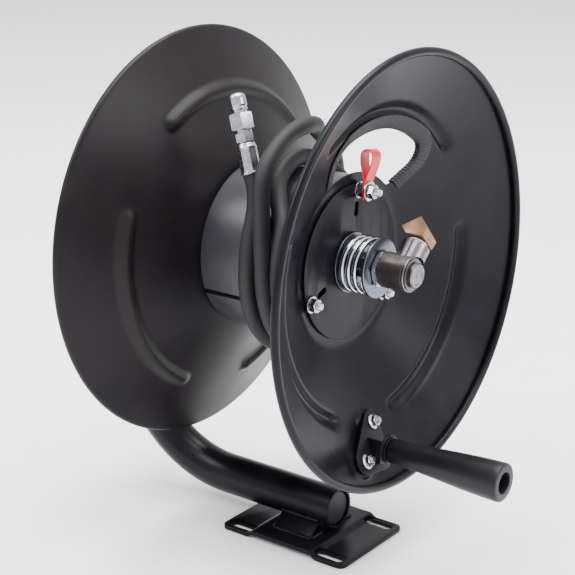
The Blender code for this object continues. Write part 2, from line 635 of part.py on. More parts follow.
def flange(name, side):
    """Make a dished sheet with pressed ribs and a rolled rim; side -1 is the far flange."""
    half = RIB_WIDTH / 2
    radii = [FLANGE_BORE_RADIUS, FLANGE_FLAT_RADIUS - 0.003, FLANGE_FLAT_RADIUS + 0.003]
    radii += [RIB_RADIUS + half * k for k in (-1.0, -0.36, 0.36, 1.0)]
    slope = math.degrees(CONE_ANGLE)
    profile = [(r, cone_height(r)) for r in radii]
    profile += arc(RIM_RADIUS, DISH_DEPTH, RIM_CURL_RADIUS, 270 + slope, 520 + slope, 5)
    mesh = bpy.data.meshes.new(name)
    mesh.from_pydata([(r, 0.0, side * z) for r, z in profile],
                     [(i, i + 1) for i in range(len(profile) - 1)], [])
    mesh.materials.append(BLACK)
    sheet = bpy.data.objects.new(name, mesh)
    screw(sheet, LARGE_STEPS)
    start = REEL_ANGLE + 180.0 / LARGE_STEPS
    sheet.matrix_world = axial(side * HUB_X, start)
    sheet = as_mesh(sheet, PARTS)
    for vertex in sheet.data.vertices:
        angle = start - math.degrees(math.atan2(vertex.co.y, vertex.co.x))
        vertex.co.z -= side * rib_depth(vertex.co.xy.length, angle)
    middle = min(sheet.data.polygons, key=lambda face: face.center.xy.length)
    if middle.normal.z * side < 0:
        sheet.data.flip_normals()
    wall = sheet.modifiers.new("Sheet", "SOLIDIFY")
    wall.thickness = FLANGE_SHEET
    wall.offset = -1.0
    wall.use_even_offset = True
    for angle in rod_angles():
        drill(sheet, ROD_RADIUS + HOLE_CLEARANCE, 0.02, axial(side * HUB_X, angle) @ shift(ROD_CIRCLE_RADIUS))
    return sheet


def shift(x, y=0.0, z=0.0):
    """Return a plain translation."""
    return Matrix.Translation((x, y, z))


def rod_angles():
    """Return the angles of the clamping rods; the first is the one that carries the strap."""
    return [REEL_ANGLE + 360.0 / ROD_COUNT * i for i in range(ROD_COUNT)]


def opening_edge():
    """Return half the access opening's edge in two parts: the arch with its side, and the bottom."""
    outer = OPENING_OUTER_RADIUS - OPENING_CORNER
    inner = OPENING_INNER_RADIUS + OPENING_INNER_CORNER
    outer_turn = OPENING_HALF_SPAN - math.degrees(math.asin(OPENING_CORNER / outer))
    inner_turn = OPENING_HALF_SPAN - math.degrees(math.asin(OPENING_INNER_CORNER / inner))
    edge = arc(0, 0, OPENING_OUTER_RADIUS, 0, outer_turn, 4)
    x, y = outer * math.cos(math.radians(outer_turn)), outer * math.sin(math.radians(outer_turn))
    edge += arc(x, y, OPENING_CORNER, outer_turn, OPENING_HALF_SPAN + 90, 6)[1:]
    x, y = inner * math.cos(math.radians(inner_turn)), inner * math.sin(math.radians(inner_turn))
    corner = arc(x, y, OPENING_INNER_CORNER, OPENING_HALF_SPAN + 90, inner_turn + 180, 3)
    return edge + corner[:1], corner[1:] + arc(0, 0, OPENING_INNER_RADIUS, inner_turn, 0, 3)[1:]


def near_flange():
    """Make the crank-side flange, with the access opening and the crank's pads."""
    sheet = flange("near_flange", 1)
    side, bottom = opening_edge()
    half = side + bottom
    outline = half + [(x, -y) for x, y in half[-2:0:-1]]
    combine(sheet, prism("near_flange.opening", [outline], 0.08, axial(HUB_X - 0.02, REEL_ANGLE), BLACK))
    for place in CRANK_BOLTS:
        pad = [(0.0, CRANK_PAD_HEIGHT), (CRANK_PAD_RADIUS - 0.003, CRANK_PAD_HEIGHT),
               (CRANK_PAD_RADIUS, -FLANGE_SHEET / 2), (0.0, -FLANGE_SHEET / 2)]
        seat = crank_matrix() @ shift(*place)
        combine(sheet, turned("near_flange.pad", pad, seat, BLACK, SMALL_STEPS), "UNION")
        drill(sheet, CRANK_BOLT_RADIUS + HOLE_CLEARANCE, 0.03, seat)
    return sheet


def edge_trim():
    """Make the U-section strip over the opening's arch and sides."""
    side = opening_edge()[0]
    path = [(x, -y) for x, y in side[:0:-1]] + side
    wall, gap = TRIM_WALL, TRIM_GAP
    back = -FLANGE_SHEET - gap
    section = [(-gap - wall, back - wall), (TRIM_LEG, back - wall), (TRIM_LEG, back), (-gap, back),
               (-gap, gap),
               (TRIM_FLAP, gap), (TRIM_FLAP, gap + wall), (-gap - wall, gap + wall)]
    shape = bmesh.new()
    rows = []
    for i, (x, y) in enumerate(path):
        before, after = path[max(i - 1, 0)], path[min(i + 1, len(path) - 1)]
        along = Vector((after[0] - before[0], after[1] - before[1])).normalized()
        away = Vector((along.y, -along.x))
        row = []
        for out, lift in section:
            place = Vector((x, y)) + away * out
            row.append(shape.verts.new((*place, cone_height(place.length) + lift / math.cos(CONE_ANGLE))))
        rows.append(row)
    for first, second in zip(rows, rows[1:]):
        for i in range(len(section)):
            j = (i + 1) % len(section)
            shape.faces.new((first[i], first[j], second[j], second[i]))
    shape.faces.new(rows[0][::-1])
    shape.faces.new(rows[-1])
    bmesh.ops.recalc_face_normals(shape, faces=shape.faces)
    mesh = bpy.data.meshes.new("edge_trim")
    shape.to_mesh(mesh)
    shape.free()
    mesh.materials.append(RUBBER)
    strip = bpy.data.objects.new("edge_trim", mesh)
    strip.matrix_world = axial(HUB_X, REEL_ANGLE)
    return strip


def hub_disc(name, x):
    """Make a hub disc with a bush hole, rod holes and radial slots."""
    outlines = [circle(0, 0, HUB_DISC_RADIUS, LARGE_STEPS),
                circle(0, 0, AXLE_RADIUS + RUNNING_CLEARANCE + BUSH_WALL + GAP)]
    for angle in rod_angles():
        outlines.append(circle(*polar(ROD_CIRCLE_RADIUS, angle), ROD_RADIUS + HOLE_CLEARANCE, TINY_STEPS))
        outlines.append(stadium(*polar(SLOT_RADIUS, angle), SLOT_LENGTH, SLOT_WIDTH, -angle))
    return prism(name, outlines, HUB_DISC_THICKNESS, axial(x), BLACK)


def bush(name, side):
    """Make a flanged bush that carries a hub disc on the axle."""
    inner = AXLE_RADIUS + RUNNING_CLEARANCE
    outer = inner + BUSH_WALL
    back = -HUB_DISC_THICKNESS - GAP
    profile = [(outer, -GAP), (outer, back), (outer + 0.006, back), (outer + 0.006, back - 0.003),
               (outer, back - 0.003), (outer, -BUSH_LENGTH), (inner, -BUSH_LENGTH), (inner, -GAP)]
    return turned(name, profile, axial(side * DISC_FACE, 0.0, side), STEEL)


def drum_shell():
    """Make the rolled drum with its open seam and the outlet's hole."""
    half = math.degrees(DRUM_SEAM_WIDTH / 2 / DRUM_RADIUS)
    start, end = DRUM_SEAM_ANGLE + half, DRUM_SEAM_ANGLE - half + 360
    lip = DRUM_RADIUS - 0.006
    turns = [start + (end - start) * i / LARGE_STEPS for i in range(LARGE_STEPS + 1)]
    outline = [polar(DRUM_RADIUS, turn) for turn in turns]
    fold = math.degrees(DRUM_SHEET / DRUM_RADIUS)
    outline += [polar(lip, end), polar(lip, end - fold)]
    outline += [polar(DRUM_RADIUS - DRUM_SHEET, turn) for turn in (end - fold, *turns[-2:0:-1], start + fold)]
    outline += [polar(lip, start + fold), polar(lip, start)]
    reach = HUB_X - FLANGE_SHEET - GAP
    shell = as_mesh(prism("drum_shell", [outline], 2 * reach, axial(-reach), BLACK), PARTS)
    drill(shell, OUTLET_PIPE_RADIUS + 0.001, 0.03, radial(MANIFOLD_X, OUTLET_ANGLE, DRUM_RADIUS), SMALL_STEPS)
    return shell


def nut(name, flats, height, bore, matrix, look, body):
    """Make a hexagon nut."""
    outlines = [hexagon(flats), circle(0, 0, bore / math.cos(math.pi / TINY_STEPS), TINY_STEPS)]
    keep(prism(name, outlines, height, matrix, look), body)


def rods(body):
    """Make the clamping rods with their nuts and washers, and the strap on the first."""
    hole = ROD_RADIUS + GAP
    for number, angle in enumerate(rod_angles(), 1):
        place = shift(ROD_CIRCLE_RADIUS)
        near = DISC_FACE + (STRAP_ROD_STICK_OUT if number == 1 else ROD_STICK_OUT)
        far = -DISC_FACE - ROD_STICK_OUT
        keep(turned(f"tie_rod_{number}", [(0.0, near), (ROD_RADIUS, near), (ROD_RADIUS, far), (0.0, far)],
                    axial(0.0, angle) @ place, ZINC, TINY_STEPS), body)
        washer = [(WASHER_RADIUS, WASHER_HEIGHT), (WASHER_RADIUS, 0.0), (hole, 0.0), (hole, WASHER_HEIGHT)]
        keep(turned(f"near_rod_washer_{number}", washer, axial(DISC_FACE + GAP, angle) @ place, ZINC,
                    SMALL_STEPS), body)
        x = DISC_FACE + 2 * GAP + WASHER_HEIGHT
        nut(f"near_rod_nut_{number}", NUT_FLATS, NUT_HEIGHT, hole, axial(x, angle) @ place, ZINC, body)
        nut(f"far_rod_nut_{number}", NUT_FLATS, NUT_HEIGHT, hole, axial(-DISC_FACE - GAP - NUT_HEIGHT, angle)
            @ place, ZINC, body)
    place = shift(ROD_CIRCLE_RADIUS)
    x += NUT_HEIGHT + GAP
    keep(strap(x), body)
    x += 2 * STRAP_THICKNESS + GAP
    keep(turned("strap_washer", washer, axial(x, REEL_ANGLE) @ place, ZINC, SMALL_STEPS), body)
    x += WASHER_HEIGHT + GAP
    nut("strap_nut", NUT_FLATS, NUT_HEIGHT, hole, axial(x, REEL_ANGLE) @ place, ZINC, body)


def strap(x):
    """Make the folded strap that holds the hose's end, clamped on the first rod."""
    thick, wide = STRAP_THICKNESS, STRAP_SPREAD / 2
    low, top = -WASHER_RADIUS, STRAP_HEIGHT - wide
    neck = WASHER_RADIUS + 0.001
    middle = thick
    right = [(middle + thick, low), (middle + thick, neck), (middle + wide * 0.62, top * 0.55)]
    left = [(middle - wide * 0.62, top * 0.55), (middle - thick, neck), (middle - thick, low)]
    outline = right + arc(middle, top, wide, 10, 170, 8) + left
    inner = [(middle, neck + 0.002), (middle + wide * 0.62 - thick, top * 0.55)]
    inner += arc(middle, top, wide - thick, 10, 170, 8) + [(middle - wide * 0.62 + thick, top * 0.55)]
    base = radial(x, REEL_ANGLE, ROD_CIRCLE_RADIUS) @ Matrix.Rotation(math.pi / 2, 4, "X")
    loop = as_mesh(prism("strap_loop", [outline, inner], STRAP_WIDTH,
                         base @ shift(0, 0, -STRAP_WIDTH / 2), RED),
                   PARTS)
    drill(loop, ROD_RADIUS + GAP, 0.02, axial(x, REEL_ANGLE) @ shift(ROD_CIRCLE_RADIUS))
    return loop


def manifold_pieces(body):
    """Make the sleeve that takes water off the axle and the pipe out through the drum."""
    inner = AXLE_RADIUS + RUNNING_CLEARANCE
    outer = inner + 0.008
    length, port = 0.025, 0.018
    profile = [(outer, length), (outer, 0.0), (inner, 0.0), (inner, port - 0.004),
               (inner + 0.002, port - 0.004),
               (inner + 0.002, port + 0.004), (inner, port + 0.004), (inner, length)]
    sleeve = as_mesh(turned("manifold_sleeve", profile, axial(MANIFOLD_X - port), STEEL), PARTS)
    drill(sleeve, OUTLET_PIPE_RADIUS + GAP, outer, radial(MANIFOLD_X, OUTLET_ANGLE, outer), SMALL_STEPS)
    keep(sleeve, body)
    start = Vector(around(MANIFOLD_X, inner + 0.0035, OUTLET_ANGLE))
    corner = Vector(around(MANIFOLD_X, *outlet_point(-FERRULE_LENGTH / 2 - 0.014)))
    end = Vector(around(MANIFOLD_X, *outlet_point(-FERRULE_LENGTH / 2 - GAP)))
    out, along = (corner - start).normalized(), (end - corner).normalized()
    turn = out.angle(along)
    cut = OUTLET_BEND * math.tan(turn / 2)
    middle = corner - out * cut + (along - out * out.dot(along)).normalized() * OUTLET_BEND
    normal = out.cross(along).normalized()
    spoke = corner - out * cut - middle
    bend = [middle + Matrix.Rotation(turn * i / 6, 3, normal) @ spoke for i in range(7)]
    if (end - corner).length > cut:
        bend.append(end)
    pipe = as_mesh(tube("outlet_pipe", [start, *bend], OUTLET_PIPE_RADIUS, BRASS, resolution=4,
                        caps=False), PARTS)
    wall = pipe.modifiers.new("Wall", "SOLIDIFY")
    wall.thickness = OUTLET_PIPE_WALL
    wall.offset = -1.0
    keep(pipe, body)


def outlet_point(distance):
    """Return the radius and angle of a point on the first ferrule's line, from its middle."""
    nearest = DRUM_RADIUS + FERRULE_RADIUS + 0.0005
    return math.hypot(nearest, distance), FERRULE_MIDDLE + math.degrees(math.atan2(distance, nearest))


def reel_pieces(body):
    """Make everything that turns with the drum, but for the grip and the hose."""
    keep(drum_shell(), body)
    keep(near_flange(), body)
    keep(flange("far_flange", -1), body)
    keep(edge_trim(), body)
    keep(hub_disc("near_hub_disc", HUB_X + GAP), body)
    keep(hub_disc("far_hub_disc", -DISC_FACE), body)
    keep(bush("near_bush", 1), body)
    keep(bush("far_bush", -1), body)
    rods(body)
    manifold_pieces(body)
    crank_pieces(body)


# --- crank ---------------------------------------------------------------------------------


def crank_matrix():
    """Return the crank's frame on the flange: X round the reel, Y out along the cone, Z off the cone."""
    turn = math.radians(CRANK_ANGLE)
    out = Vector((0.0, math.sin(turn), math.cos(turn)))
    side = Vector((0.0, math.cos(turn), -math.sin(turn)))
    axis = Vector((1.0, 0.0, 0.0))
    slope = out * math.cos(CONE_ANGLE) + axis * math.sin(CONE_ANGLE)
    off = axis * math.cos(CONE_ANGLE) - out * math.sin(CONE_ANGLE)
    basis = Matrix((side, slope, off)).transposed().to_4x4()
    start = Vector(around(HUB_X + cone_height(CRANK_START), CRANK_START, CRANK_ANGLE))
    return Matrix.Translation(start) @ basis


def crank_bracket():
    """Make the crank's bolted plate with the lug that holds the grip's spindle."""
    frame = crank_matrix()
    lift = CRANK_PAD_HEIGHT + GAP
    outline = rounded([(-0.0115, 0.002, 0.012), (0.019, 0.0405, 0.014), (-0.015, 0.040, 0.012)])
    plate = as_mesh(prism("crank_bracket", [outline], CRANK_PLATE, frame @ shift(0, 0, lift), BLACK), PARTS)
    grip = Vector(around(LUG_X, GRIP_RADIUS, GRIP_ANGLE))
    turn = axial(0.0, CRANK_ANGLE).to_3x3().to_4x4()
    face = Matrix.Translation(grip - Vector((CRANK_PLATE, 0.0, 0.0))) @ turn
    # seen along the axle: local X points out from it, local Y towards smaller angles
    lug = rounded([(-0.001, -0.001, 0.0145), (0.0105, -0.0130, 0.0030), (0.0105, 0.0125, 0.0030)])
    combine(plate, prism("crank_bracket.lug", [lug], CRANK_PLATE, face, BLACK), "UNION")
    deep = 0.026
    below = face @ shift(0.0, 0.0, CRANK_PLATE - 0.0004 - deep)
    ledge = [(0.0103, -0.0140), (0.0131, -0.0140), (0.0131, 0.0135), (0.0103, 0.0135)]
    combine(plate, prism("crank_bracket.ledge", [ledge], deep, below, BLACK), "UNION")
    ear = [(-0.0080, -0.0155), (0.0120, -0.0155), (0.0120, -0.0128), (-0.0080, -0.0128)]
    combine(plate, prism("crank_bracket.ear", [ear], deep, below @ shift(0, 0, -0.0002), BLACK), "UNION")
    under = prism("crank_bracket.underside", [circle(0.0, 0.02, 0.09, DISC_STEPS)], 0.05,
                  frame @ shift(0, 0, lift + 0.0002 - 0.05), BLACK)
    combine(plate, under)
    drill(plate, SPINDLE_RADIUS + GAP, 0.012, face, SMALL_STEPS)
    for place in CRANK_BOLTS:
        drill(plate, CRANK_BOLT_RADIUS + HOLE_CLEARANCE, 0.03, frame @ shift(*place))
    return plate


def crank_pieces(body):
    """Make the crank's bracket, its bolts and nuts, and the grip's spindle, collar and nut."""
    frame = crank_matrix()
    keep(crank_bracket(), body)
    face = CRANK_PAD_HEIGHT + GAP + CRANK_PLATE + GAP
    back = -FLANGE_SHEET - GAP
    for number, place in enumerate(CRANK_BOLTS, 1):
        seat = frame @ shift(*place)
        bolt = [(0.0, face + CRANK_NUT_HEIGHT + 0.003), (CRANK_BOLT_RADIUS, face + CRANK_NUT_HEIGHT + 0.003),
                (CRANK_BOLT_RADIUS, back), (CRANK_BOLT_HEAD, back), (CRANK_BOLT_HEAD, back - 0.004),
                (0.0, back - 0.004)]
        keep(turned(f"crank_bolt_{number}", bolt, seat, ZINC, TINY_STEPS), body)
        hole, flats = CRANK_BOLT_RADIUS + GAP, CRANK_NUT_RADIUS * 0.72
        profile = [(hole, CRANK_NUT_HEIGHT), (flats, CRANK_NUT_HEIGHT), (flats, 0.0020),
                   (CRANK_NUT_RADIUS, 0.0012), (CRANK_NUT_RADIUS, 0.0), (hole, 0.0)]
        keep(turned(f"crank_nut_{number}", profile, seat @ shift(0, 0, face), ZINC, TINY_STEPS), body)
    axis = axial(0.0, GRIP_ANGLE) @ shift(GRIP_RADIUS)
    floor = GRIP_END_X - GRIP_COUNTERBORE_DEPTH + GAP
    end = floor + SPINDLE_NUT_HEIGHT + 0.003
    head = LUG_X - CRANK_PLATE - GAP
    spindle = [(0.0, end), (SPINDLE_RADIUS, end), (SPINDLE_RADIUS, head), (SPINDLE_RADIUS + 0.002, head),
               (SPINDLE_RADIUS + 0.002, head - 0.003), (0.0, head - 0.003)]
    keep(turned("grip_spindle", spindle, axis, ZINC), body)
    hole = SPINDLE_RADIUS + GAP
    collar = [(COLLAR_RADIUS, COLLAR_HEIGHT), (COLLAR_RADIUS, 0.0), (hole, 0.0), (hole, COLLAR_HEIGHT)]
    keep(turned("spindle_collar", collar, axis @ shift(0, 0, LUG_X + GAP), BLACK), body)
    nut("spindle_nut", SPINDLE_NUT_FLATS, SPINDLE_NUT_HEIGHT, hole, axis @ shift(0, 0, floor), ZINC, body)


def crank_grip(body):
    """Make the plastic handle that spins on its spindle."""
    length, narrow, wide = GRIP_LENGTH, GRIP_NARROW, GRIP_WIDE
    grow = wide - narrow
    outside = [(narrow - 0.0010, 0.0), (narrow, 0.0012)]
    outside += [(narrow + grow * k, length * s)
                for s, k in ((0.10, 0.06), (0.35, 0.32), (0.65, 0.68), (0.88, 0.95))]
    outside += [(wide, length * 0.95), (wide - 0.0010, length - 0.0015), (wide - 0.0035, length)]
    inside = [(GRIP_COUNTERBORE, length), (GRIP_COUNTERBORE, length - GRIP_COUNTERBORE_DEPTH),
              (GRIP_BORE, length - GRIP_COUNTERBORE_DEPTH), (GRIP_BORE, 0.0)]
    keep(turned("crank_grip", outside + inside, axial(GRIP_X, GRIP_ANGLE) @ shift(GRIP_RADIUS), PLASTIC,
                SMALL_STEPS), body)


# --- hose ----------------------------------------------------------------------------------


def hose_path():
    """Return world positions along the hose, from the first ferrule to the one at its free end."""
    lane = DRUM_RADIUS + HOSE_RADIUS + HOSE_GAP
    radius, angle = outlet_point(FERRULE_LENGTH / 2 + 0.0036)
    route = [(angle, radius, MANIFOLD_X)]
    for turn, out, x in HOSE_ROUTE:
        route.append((turn, lane + out, x))
    length = 0.0
    dense = []
    for i in range(len(route) - 1):
        a, b = route[max(i - 1, 0)], route[i]
        c, d = route[i + 1], route[min(i + 2, len(route) - 1)]
        for step in range(24):
            t = step / 24
            dense.append(tuple(catmull(a[k], b[k], c[k], d[k], t) for k in range(3)))
    dense.append(route[-1])
    places = [Vector(around(x, out, turn)) for turn, out, x in dense]
    travel = [0.0]
    for first, second in zip(places, places[1:]):
        length += (second - first).length
        travel.append(length)
    points, k = [], 0
    for i in range(HOSE_POINTS):
        goal = length * i / (HOSE_POINTS - 1)
        while k < len(travel) - 2 and travel[k + 1] < goal:
            k += 1
        part = (goal - travel[k]) / (travel[k + 1] - travel[k])
        points.append(places[k].lerp(places[k + 1], min(1.0, part)))
    return points


def catmull(a, b, c, d, t):
    """Return a value on the smooth curve from b to c."""
    return 0.5 * (2 * b + (c - a) * t + (2 * a - 5 * b + 4 * c - d) * t ** 2
                  + (3 * b - a - 3 * c + d) * t ** 3)


def hose_pieces(body):
    """Make the hose with the fittings on both its ends."""
    points = hose_path()
    keep(tube("hose", points, HOSE_RADIUS, RUBBER, resolution=2), body)
    middle = Vector(around(MANIFOLD_X, *outlet_point(0.0)))
    along = (Vector(around(MANIFOLD_X, *outlet_point(0.01))) - middle).normalized()
    upright = along.to_track_quat("Z", "X").to_matrix().to_4x4()
    first = Matrix.Translation(middle - along * FERRULE_LENGTH / 2) @ upright
    sleeve = [(0.0, FERRULE_LENGTH), (FERRULE_RADIUS, FERRULE_LENGTH), (FERRULE_RADIUS, 0.0), (0.0, 0.0)]
    keep(turned("hose_inlet_ferrule", sleeve, first, ZINC), body)
    along = (points[-1] - points[-2]).normalized()
    end = Matrix.Translation(points[-1] + along * GAP) @ along.to_track_quat("Z", "X").to_matrix().to_4x4()
    crimp, width = 0.027, FERRULE_RADIUS
    keep(turned("hose_ferrule", [(0.0, crimp), (width - 0.0015, crimp), (width, crimp - 0.0015), (width, 0.0),
                                 (0.0, 0.0)], end, ZINC), body)
    keep(prism("hose_swivel_nut", [hexagon(0.019)], 0.016, end @ shift(0, 0, crimp + GAP), ZINC), body)
    nose = crimp + 0.016 + 2 * GAP
    keep(turned("quick_connect_plug", [(0.0, 0.032), (0.0052, 0.032), (0.0060, 0.030), (0.0060, 0.022),
                                       (0.0048, 0.021), (0.0048, 0.018), (0.0060, 0.017), (0.0060, 0.010),
                                       (0.0100, 0.009), (0.0100, 0.0), (0.0, 0.0)],
                end @ shift(0, 0, nose), ZINC, TINY_STEPS), body)


# --- build ---------------------------------------------------------------------------------

for old in list(bpy.data.objects):
    bpy.data.objects.remove(old)

PARTS = bpy.data.collections.new(PART_NAME)
CUTTERS = bpy.data.collections.new(PART_NAME + "_cutters")
bpy.context.scene.collection.children.link(PARTS)
bpy.context.scene.collection.children.link(CUTTERS)

BLACK = finish("black_powder_coat", (0.013, 0.012, 0.017), 0.38)
PLASTIC = finish("black_plastic", (0.016, 0.015, 0.022), 0.45)
RUBBER = finish("black_rubber", (0.022, 0.020, 0.026), 0.62)
RED = finish("red_vinyl", (0.76, 0.06, 0.05), 0.45)
ZINC = finish("bright_zinc", (0.62, 0.62, 0.66), 0.24, 1.0)
SPRING = finish("chromed_spring_steel", (0.72, 0.72, 0.76), 0.16, 1.0)
STEEL = finish("turned_steel", (0.46, 0.45, 0.47), 0.32, 1.0)
PHOSPHATE = finish("phosphated_steel", (0.10, 0.085, 0.085), 0.42, 0.8)
BRASS = finish("brass", (0.30, 0.17, 0.09), 0.38, 1.0)
LINING = finish("brake_lining", (0.05, 0.045, 0.04), 0.8)

REEL = pivot("reel_pivot", (REEL_X, 0.0, AXLE_HEIGHT))
SWIVEL = pivot("swivel_pivot", (REEL_X + PORT_X, 0.0, AXLE_HEIGHT))
GRIP = pivot("grip_pivot", around(GRIP_X, GRIP_RADIUS, GRIP_ANGLE))
keep(GRIP, REEL)

stand_pieces()
swivel_pieces(SWIVEL)
reel_pieces(REEL)
crank_grip(GRIP)
hose_pieces(REEL)
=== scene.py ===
"""Looks for a hand-cranked pressure hose reel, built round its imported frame.

World frame: X along the axle towards the crank, Y to the back, Z up, in metres.
Angles round the axle are in degrees from straight up, towards +Y.
"""

import json
import logging
import math
from dataclasses import dataclass
from enum import Enum

import bmesh
import bpy
from mathutils import Matrix, Vector

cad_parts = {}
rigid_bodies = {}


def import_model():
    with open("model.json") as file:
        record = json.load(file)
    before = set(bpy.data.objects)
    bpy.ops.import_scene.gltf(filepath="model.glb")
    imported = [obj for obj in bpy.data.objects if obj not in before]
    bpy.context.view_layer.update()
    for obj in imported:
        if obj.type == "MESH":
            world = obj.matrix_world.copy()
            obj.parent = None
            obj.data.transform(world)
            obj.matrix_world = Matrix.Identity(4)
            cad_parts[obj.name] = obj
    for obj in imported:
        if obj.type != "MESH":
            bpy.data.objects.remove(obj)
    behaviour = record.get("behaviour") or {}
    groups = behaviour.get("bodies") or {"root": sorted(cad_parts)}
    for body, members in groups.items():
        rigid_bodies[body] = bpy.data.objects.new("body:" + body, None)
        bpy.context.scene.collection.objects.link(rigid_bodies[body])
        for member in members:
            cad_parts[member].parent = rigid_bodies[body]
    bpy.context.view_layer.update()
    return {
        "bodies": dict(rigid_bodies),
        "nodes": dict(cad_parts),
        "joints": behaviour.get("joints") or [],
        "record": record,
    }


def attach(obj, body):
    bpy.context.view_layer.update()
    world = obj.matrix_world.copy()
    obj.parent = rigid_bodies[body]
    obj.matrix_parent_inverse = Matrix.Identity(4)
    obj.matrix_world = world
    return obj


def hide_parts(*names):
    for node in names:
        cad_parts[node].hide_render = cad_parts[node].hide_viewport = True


LOG = logging.getLogger("hose_reel")
MM = 0.001
PER_METRE = 1000                        # over a length in millimetres
GAP = 0.0003                            # between pieces that touch
REEL_X = -0.0027                        # the reel's middle, in the world
AXLE_Z = 0.310                          # the axle's height
AXLE_HOLE = 0.0130                      # radius of the pieces' holes for the axle
HUB_X = 0.0615                          # a flange's flat centre, from the reel's middle
DISC_FACE = 0.0643                      # a hub disc's outer face, from the reel's middle
ROD_CIRCLE = 0.0735                     # radius that the three clamping rods stand on
REEL_ANGLE = 8.6                        # of the first rod, in degrees
CONE_ANGLE = math.radians(27.7927)      # of the flanges' dish
FLAT_RADIUS = 0.087                     # of their flat centres
DRUM_RADIUS = 0.0867
HOSE_RADIUS = 0.00875
SHARP = 35.0                            # angle from which edges are shaded sharp, in degrees
OUTLET_X = 0.0445                       # the drum's water outlet, from the reel's middle

Outline = list[tuple[float, float]]
Shape = bmesh.types.BMesh
Socket = bpy.types.NodeSocket


class Body(Enum):
    """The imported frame's moving bodies."""

    STAND = "stand"
    REEL = "reel"
    SWIVEL = "swivel"
    GRIP = "grip"


class Pattern(Enum):
    """How a surface's fine grain runs."""

    EVEN = "even"
    ROUND_AXLE = "round_axle"
    WRAPPED = "wrapped"


# --- frames and outlines ---


def outward(angle: float) -> Vector:
    """Return the direction out from the axle at an angle in degrees."""
    turn = math.radians(angle)
    return Vector((0.0, math.sin(turn), math.cos(turn)))


def framed(x: Vector, y: Vector, z: Vector, origin: Vector) -> Matrix:
    """Return the frame with three axes and an origin."""
    return Matrix.Translation(origin) @ Matrix((x, y, z)).transposed().to_4x4()


def turned(angle: float, axis: str = "Z") -> Matrix:
    """Return a turn about a local axis, by an angle in degrees."""
    return Matrix.Rotation(math.radians(angle), 4, axis)


def axial(x: float, angle: float = 0.0, side: int = 1) -> Matrix:
    """Stand local Z along the axle, with local X pointing out at an angle.

    Args:
        x: distance from the reel's middle.
        angle: of local X round the axle, in degrees.
        side: -1 turns local Z away from the crank.
    Returns:
        The frame as a matrix.
    """
    out, axis = outward(angle), Vector((side, 0.0, 0.0))
    return framed(out, axis.cross(out), axis, Vector((REEL_X + x, 0.0, AXLE_Z)))


def radial(x: float, angle: float, distance: float = 0.0) -> Matrix:
    """Stand local Z straight out from the axle, with local X along it.

    Args:
        x: distance from the reel's middle.
        angle: of local Z round the axle, in degrees.
        distance: of the frame's origin from the axle's middle.
    Returns:
        The frame as a matrix.
    """
    out, along = outward(angle), Vector((1.0, 0.0, 0.0))
    return framed(along, out.cross(along), out, Vector((REEL_X + x, 0.0, AXLE_Z)) + out * distance)


def around(x: float, radius: float, angle: float) -> Vector:
    """Return the world place of a point round the axle."""
    turn = math.radians(angle)
    return Vector((REEL_X + x, radius * math.sin(turn), AXLE_Z + radius * math.cos(turn)))


def shift(x: float, y: float = 0.0, z: float = 0.0) -> Matrix:
    """Return a plain translation."""
    return Matrix.Translation((x, y, z))


def arc(x: float, y: float, radius: float, start: float, end: float, steps: int) -> Outline:
    """Return the points of an arc between two angles in degrees."""
    turns = [math.radians(start + (end - start) * i / steps) for i in range(steps + 1)]
    return [(x + radius * math.cos(t), y + radius * math.sin(t)) for t in turns]


def ring_of(x: float, y: float, radius: float, steps: int = 48) -> Outline:
    """Return the points of a circle."""
    return arc(x, y, radius, 0, 360, steps)[:-1]


def stadium(x: float, y: float, length: float, width: float, angle: float = 0.0) -> Outline:
    """Return a slot with round ends, turned by an angle in degrees."""
    half = (length - width) / 2
    points = arc(half, 0, width / 2, -90, 90, 10) + arc(-half, 0, width / 2, 90, 270, 10)
    c, s = math.cos(math.radians(angle)), math.sin(math.radians(angle))
    return [(x + px * c - py * s, y + px * s + py * c) for px, py in points]


def box(x_low: float, y_low: float, x_high: float, y_high: float) -> Outline:
    """Return a rectangle from its limits."""
    return [(x_low, y_low), (x_high, y_low), (x_high, y_high), (x_low, y_high)]


def smooth_step(share: float) -> float:
    """Return an eased share, held at 0 and at 1."""
    t = min(1.0, max(0.0, share))
    return t * t * (3 - 2 * t)


def eased(points: Outline, radius: float, closed: bool = True, steps: int = 3) -> Outline:
    """Round the corners of a line of points.

    Args:
        points: the corners.
        radius: how far from each corner the rounding starts.
        closed: whether the last point runs on to the first.
        steps: segments in each corner.
    Returns:
        The longer line of points.
    """
    result: Outline = []
    count = len(points)
    for i, corner in enumerate(points):
        if not closed and i in (0, count - 1):
            result.append(corner)
            continue
        here = Vector(corner)
        back = Vector(points[i - 1]) - here
        ahead = Vector(points[(i + 1) % count]) - here
        reach = min(radius, back.length * 0.45, ahead.length * 0.45)
        first, last = here + back.normalized() * reach, here + ahead.normalized() * reach
        for step in range(steps + 1):
            t = step / steps
            place = first * (1 - t) ** 2 + here * (2 * t * (1 - t)) + last * t ** 2
            result.append((place.x, place.y))
    return result


def signed_area(points: Outline) -> float:
    """Return twice the area inside an outline, negative where it runs clockwise."""
    return sum(a[0] * b[1] - b[0] * a[1] for a, b in zip(points, points[1:] + points[:1]))


# --- meshes ---


def linked(name: str, data: bpy.types.ID) -> bpy.types.Object:
    """Return a new object of some data, linked to the scene."""
    obj = bpy.data.objects.new(name, data)
    bpy.context.scene.collection.objects.link(obj)
    return obj


def as_mesh(shape: Shape, name: str) -> bpy.types.Mesh:
    """Turn a shape into a mesh, and free the shape."""
    mesh = bpy.data.meshes.new(name)
    shape.to_mesh(mesh)
    shape.free()
    return mesh


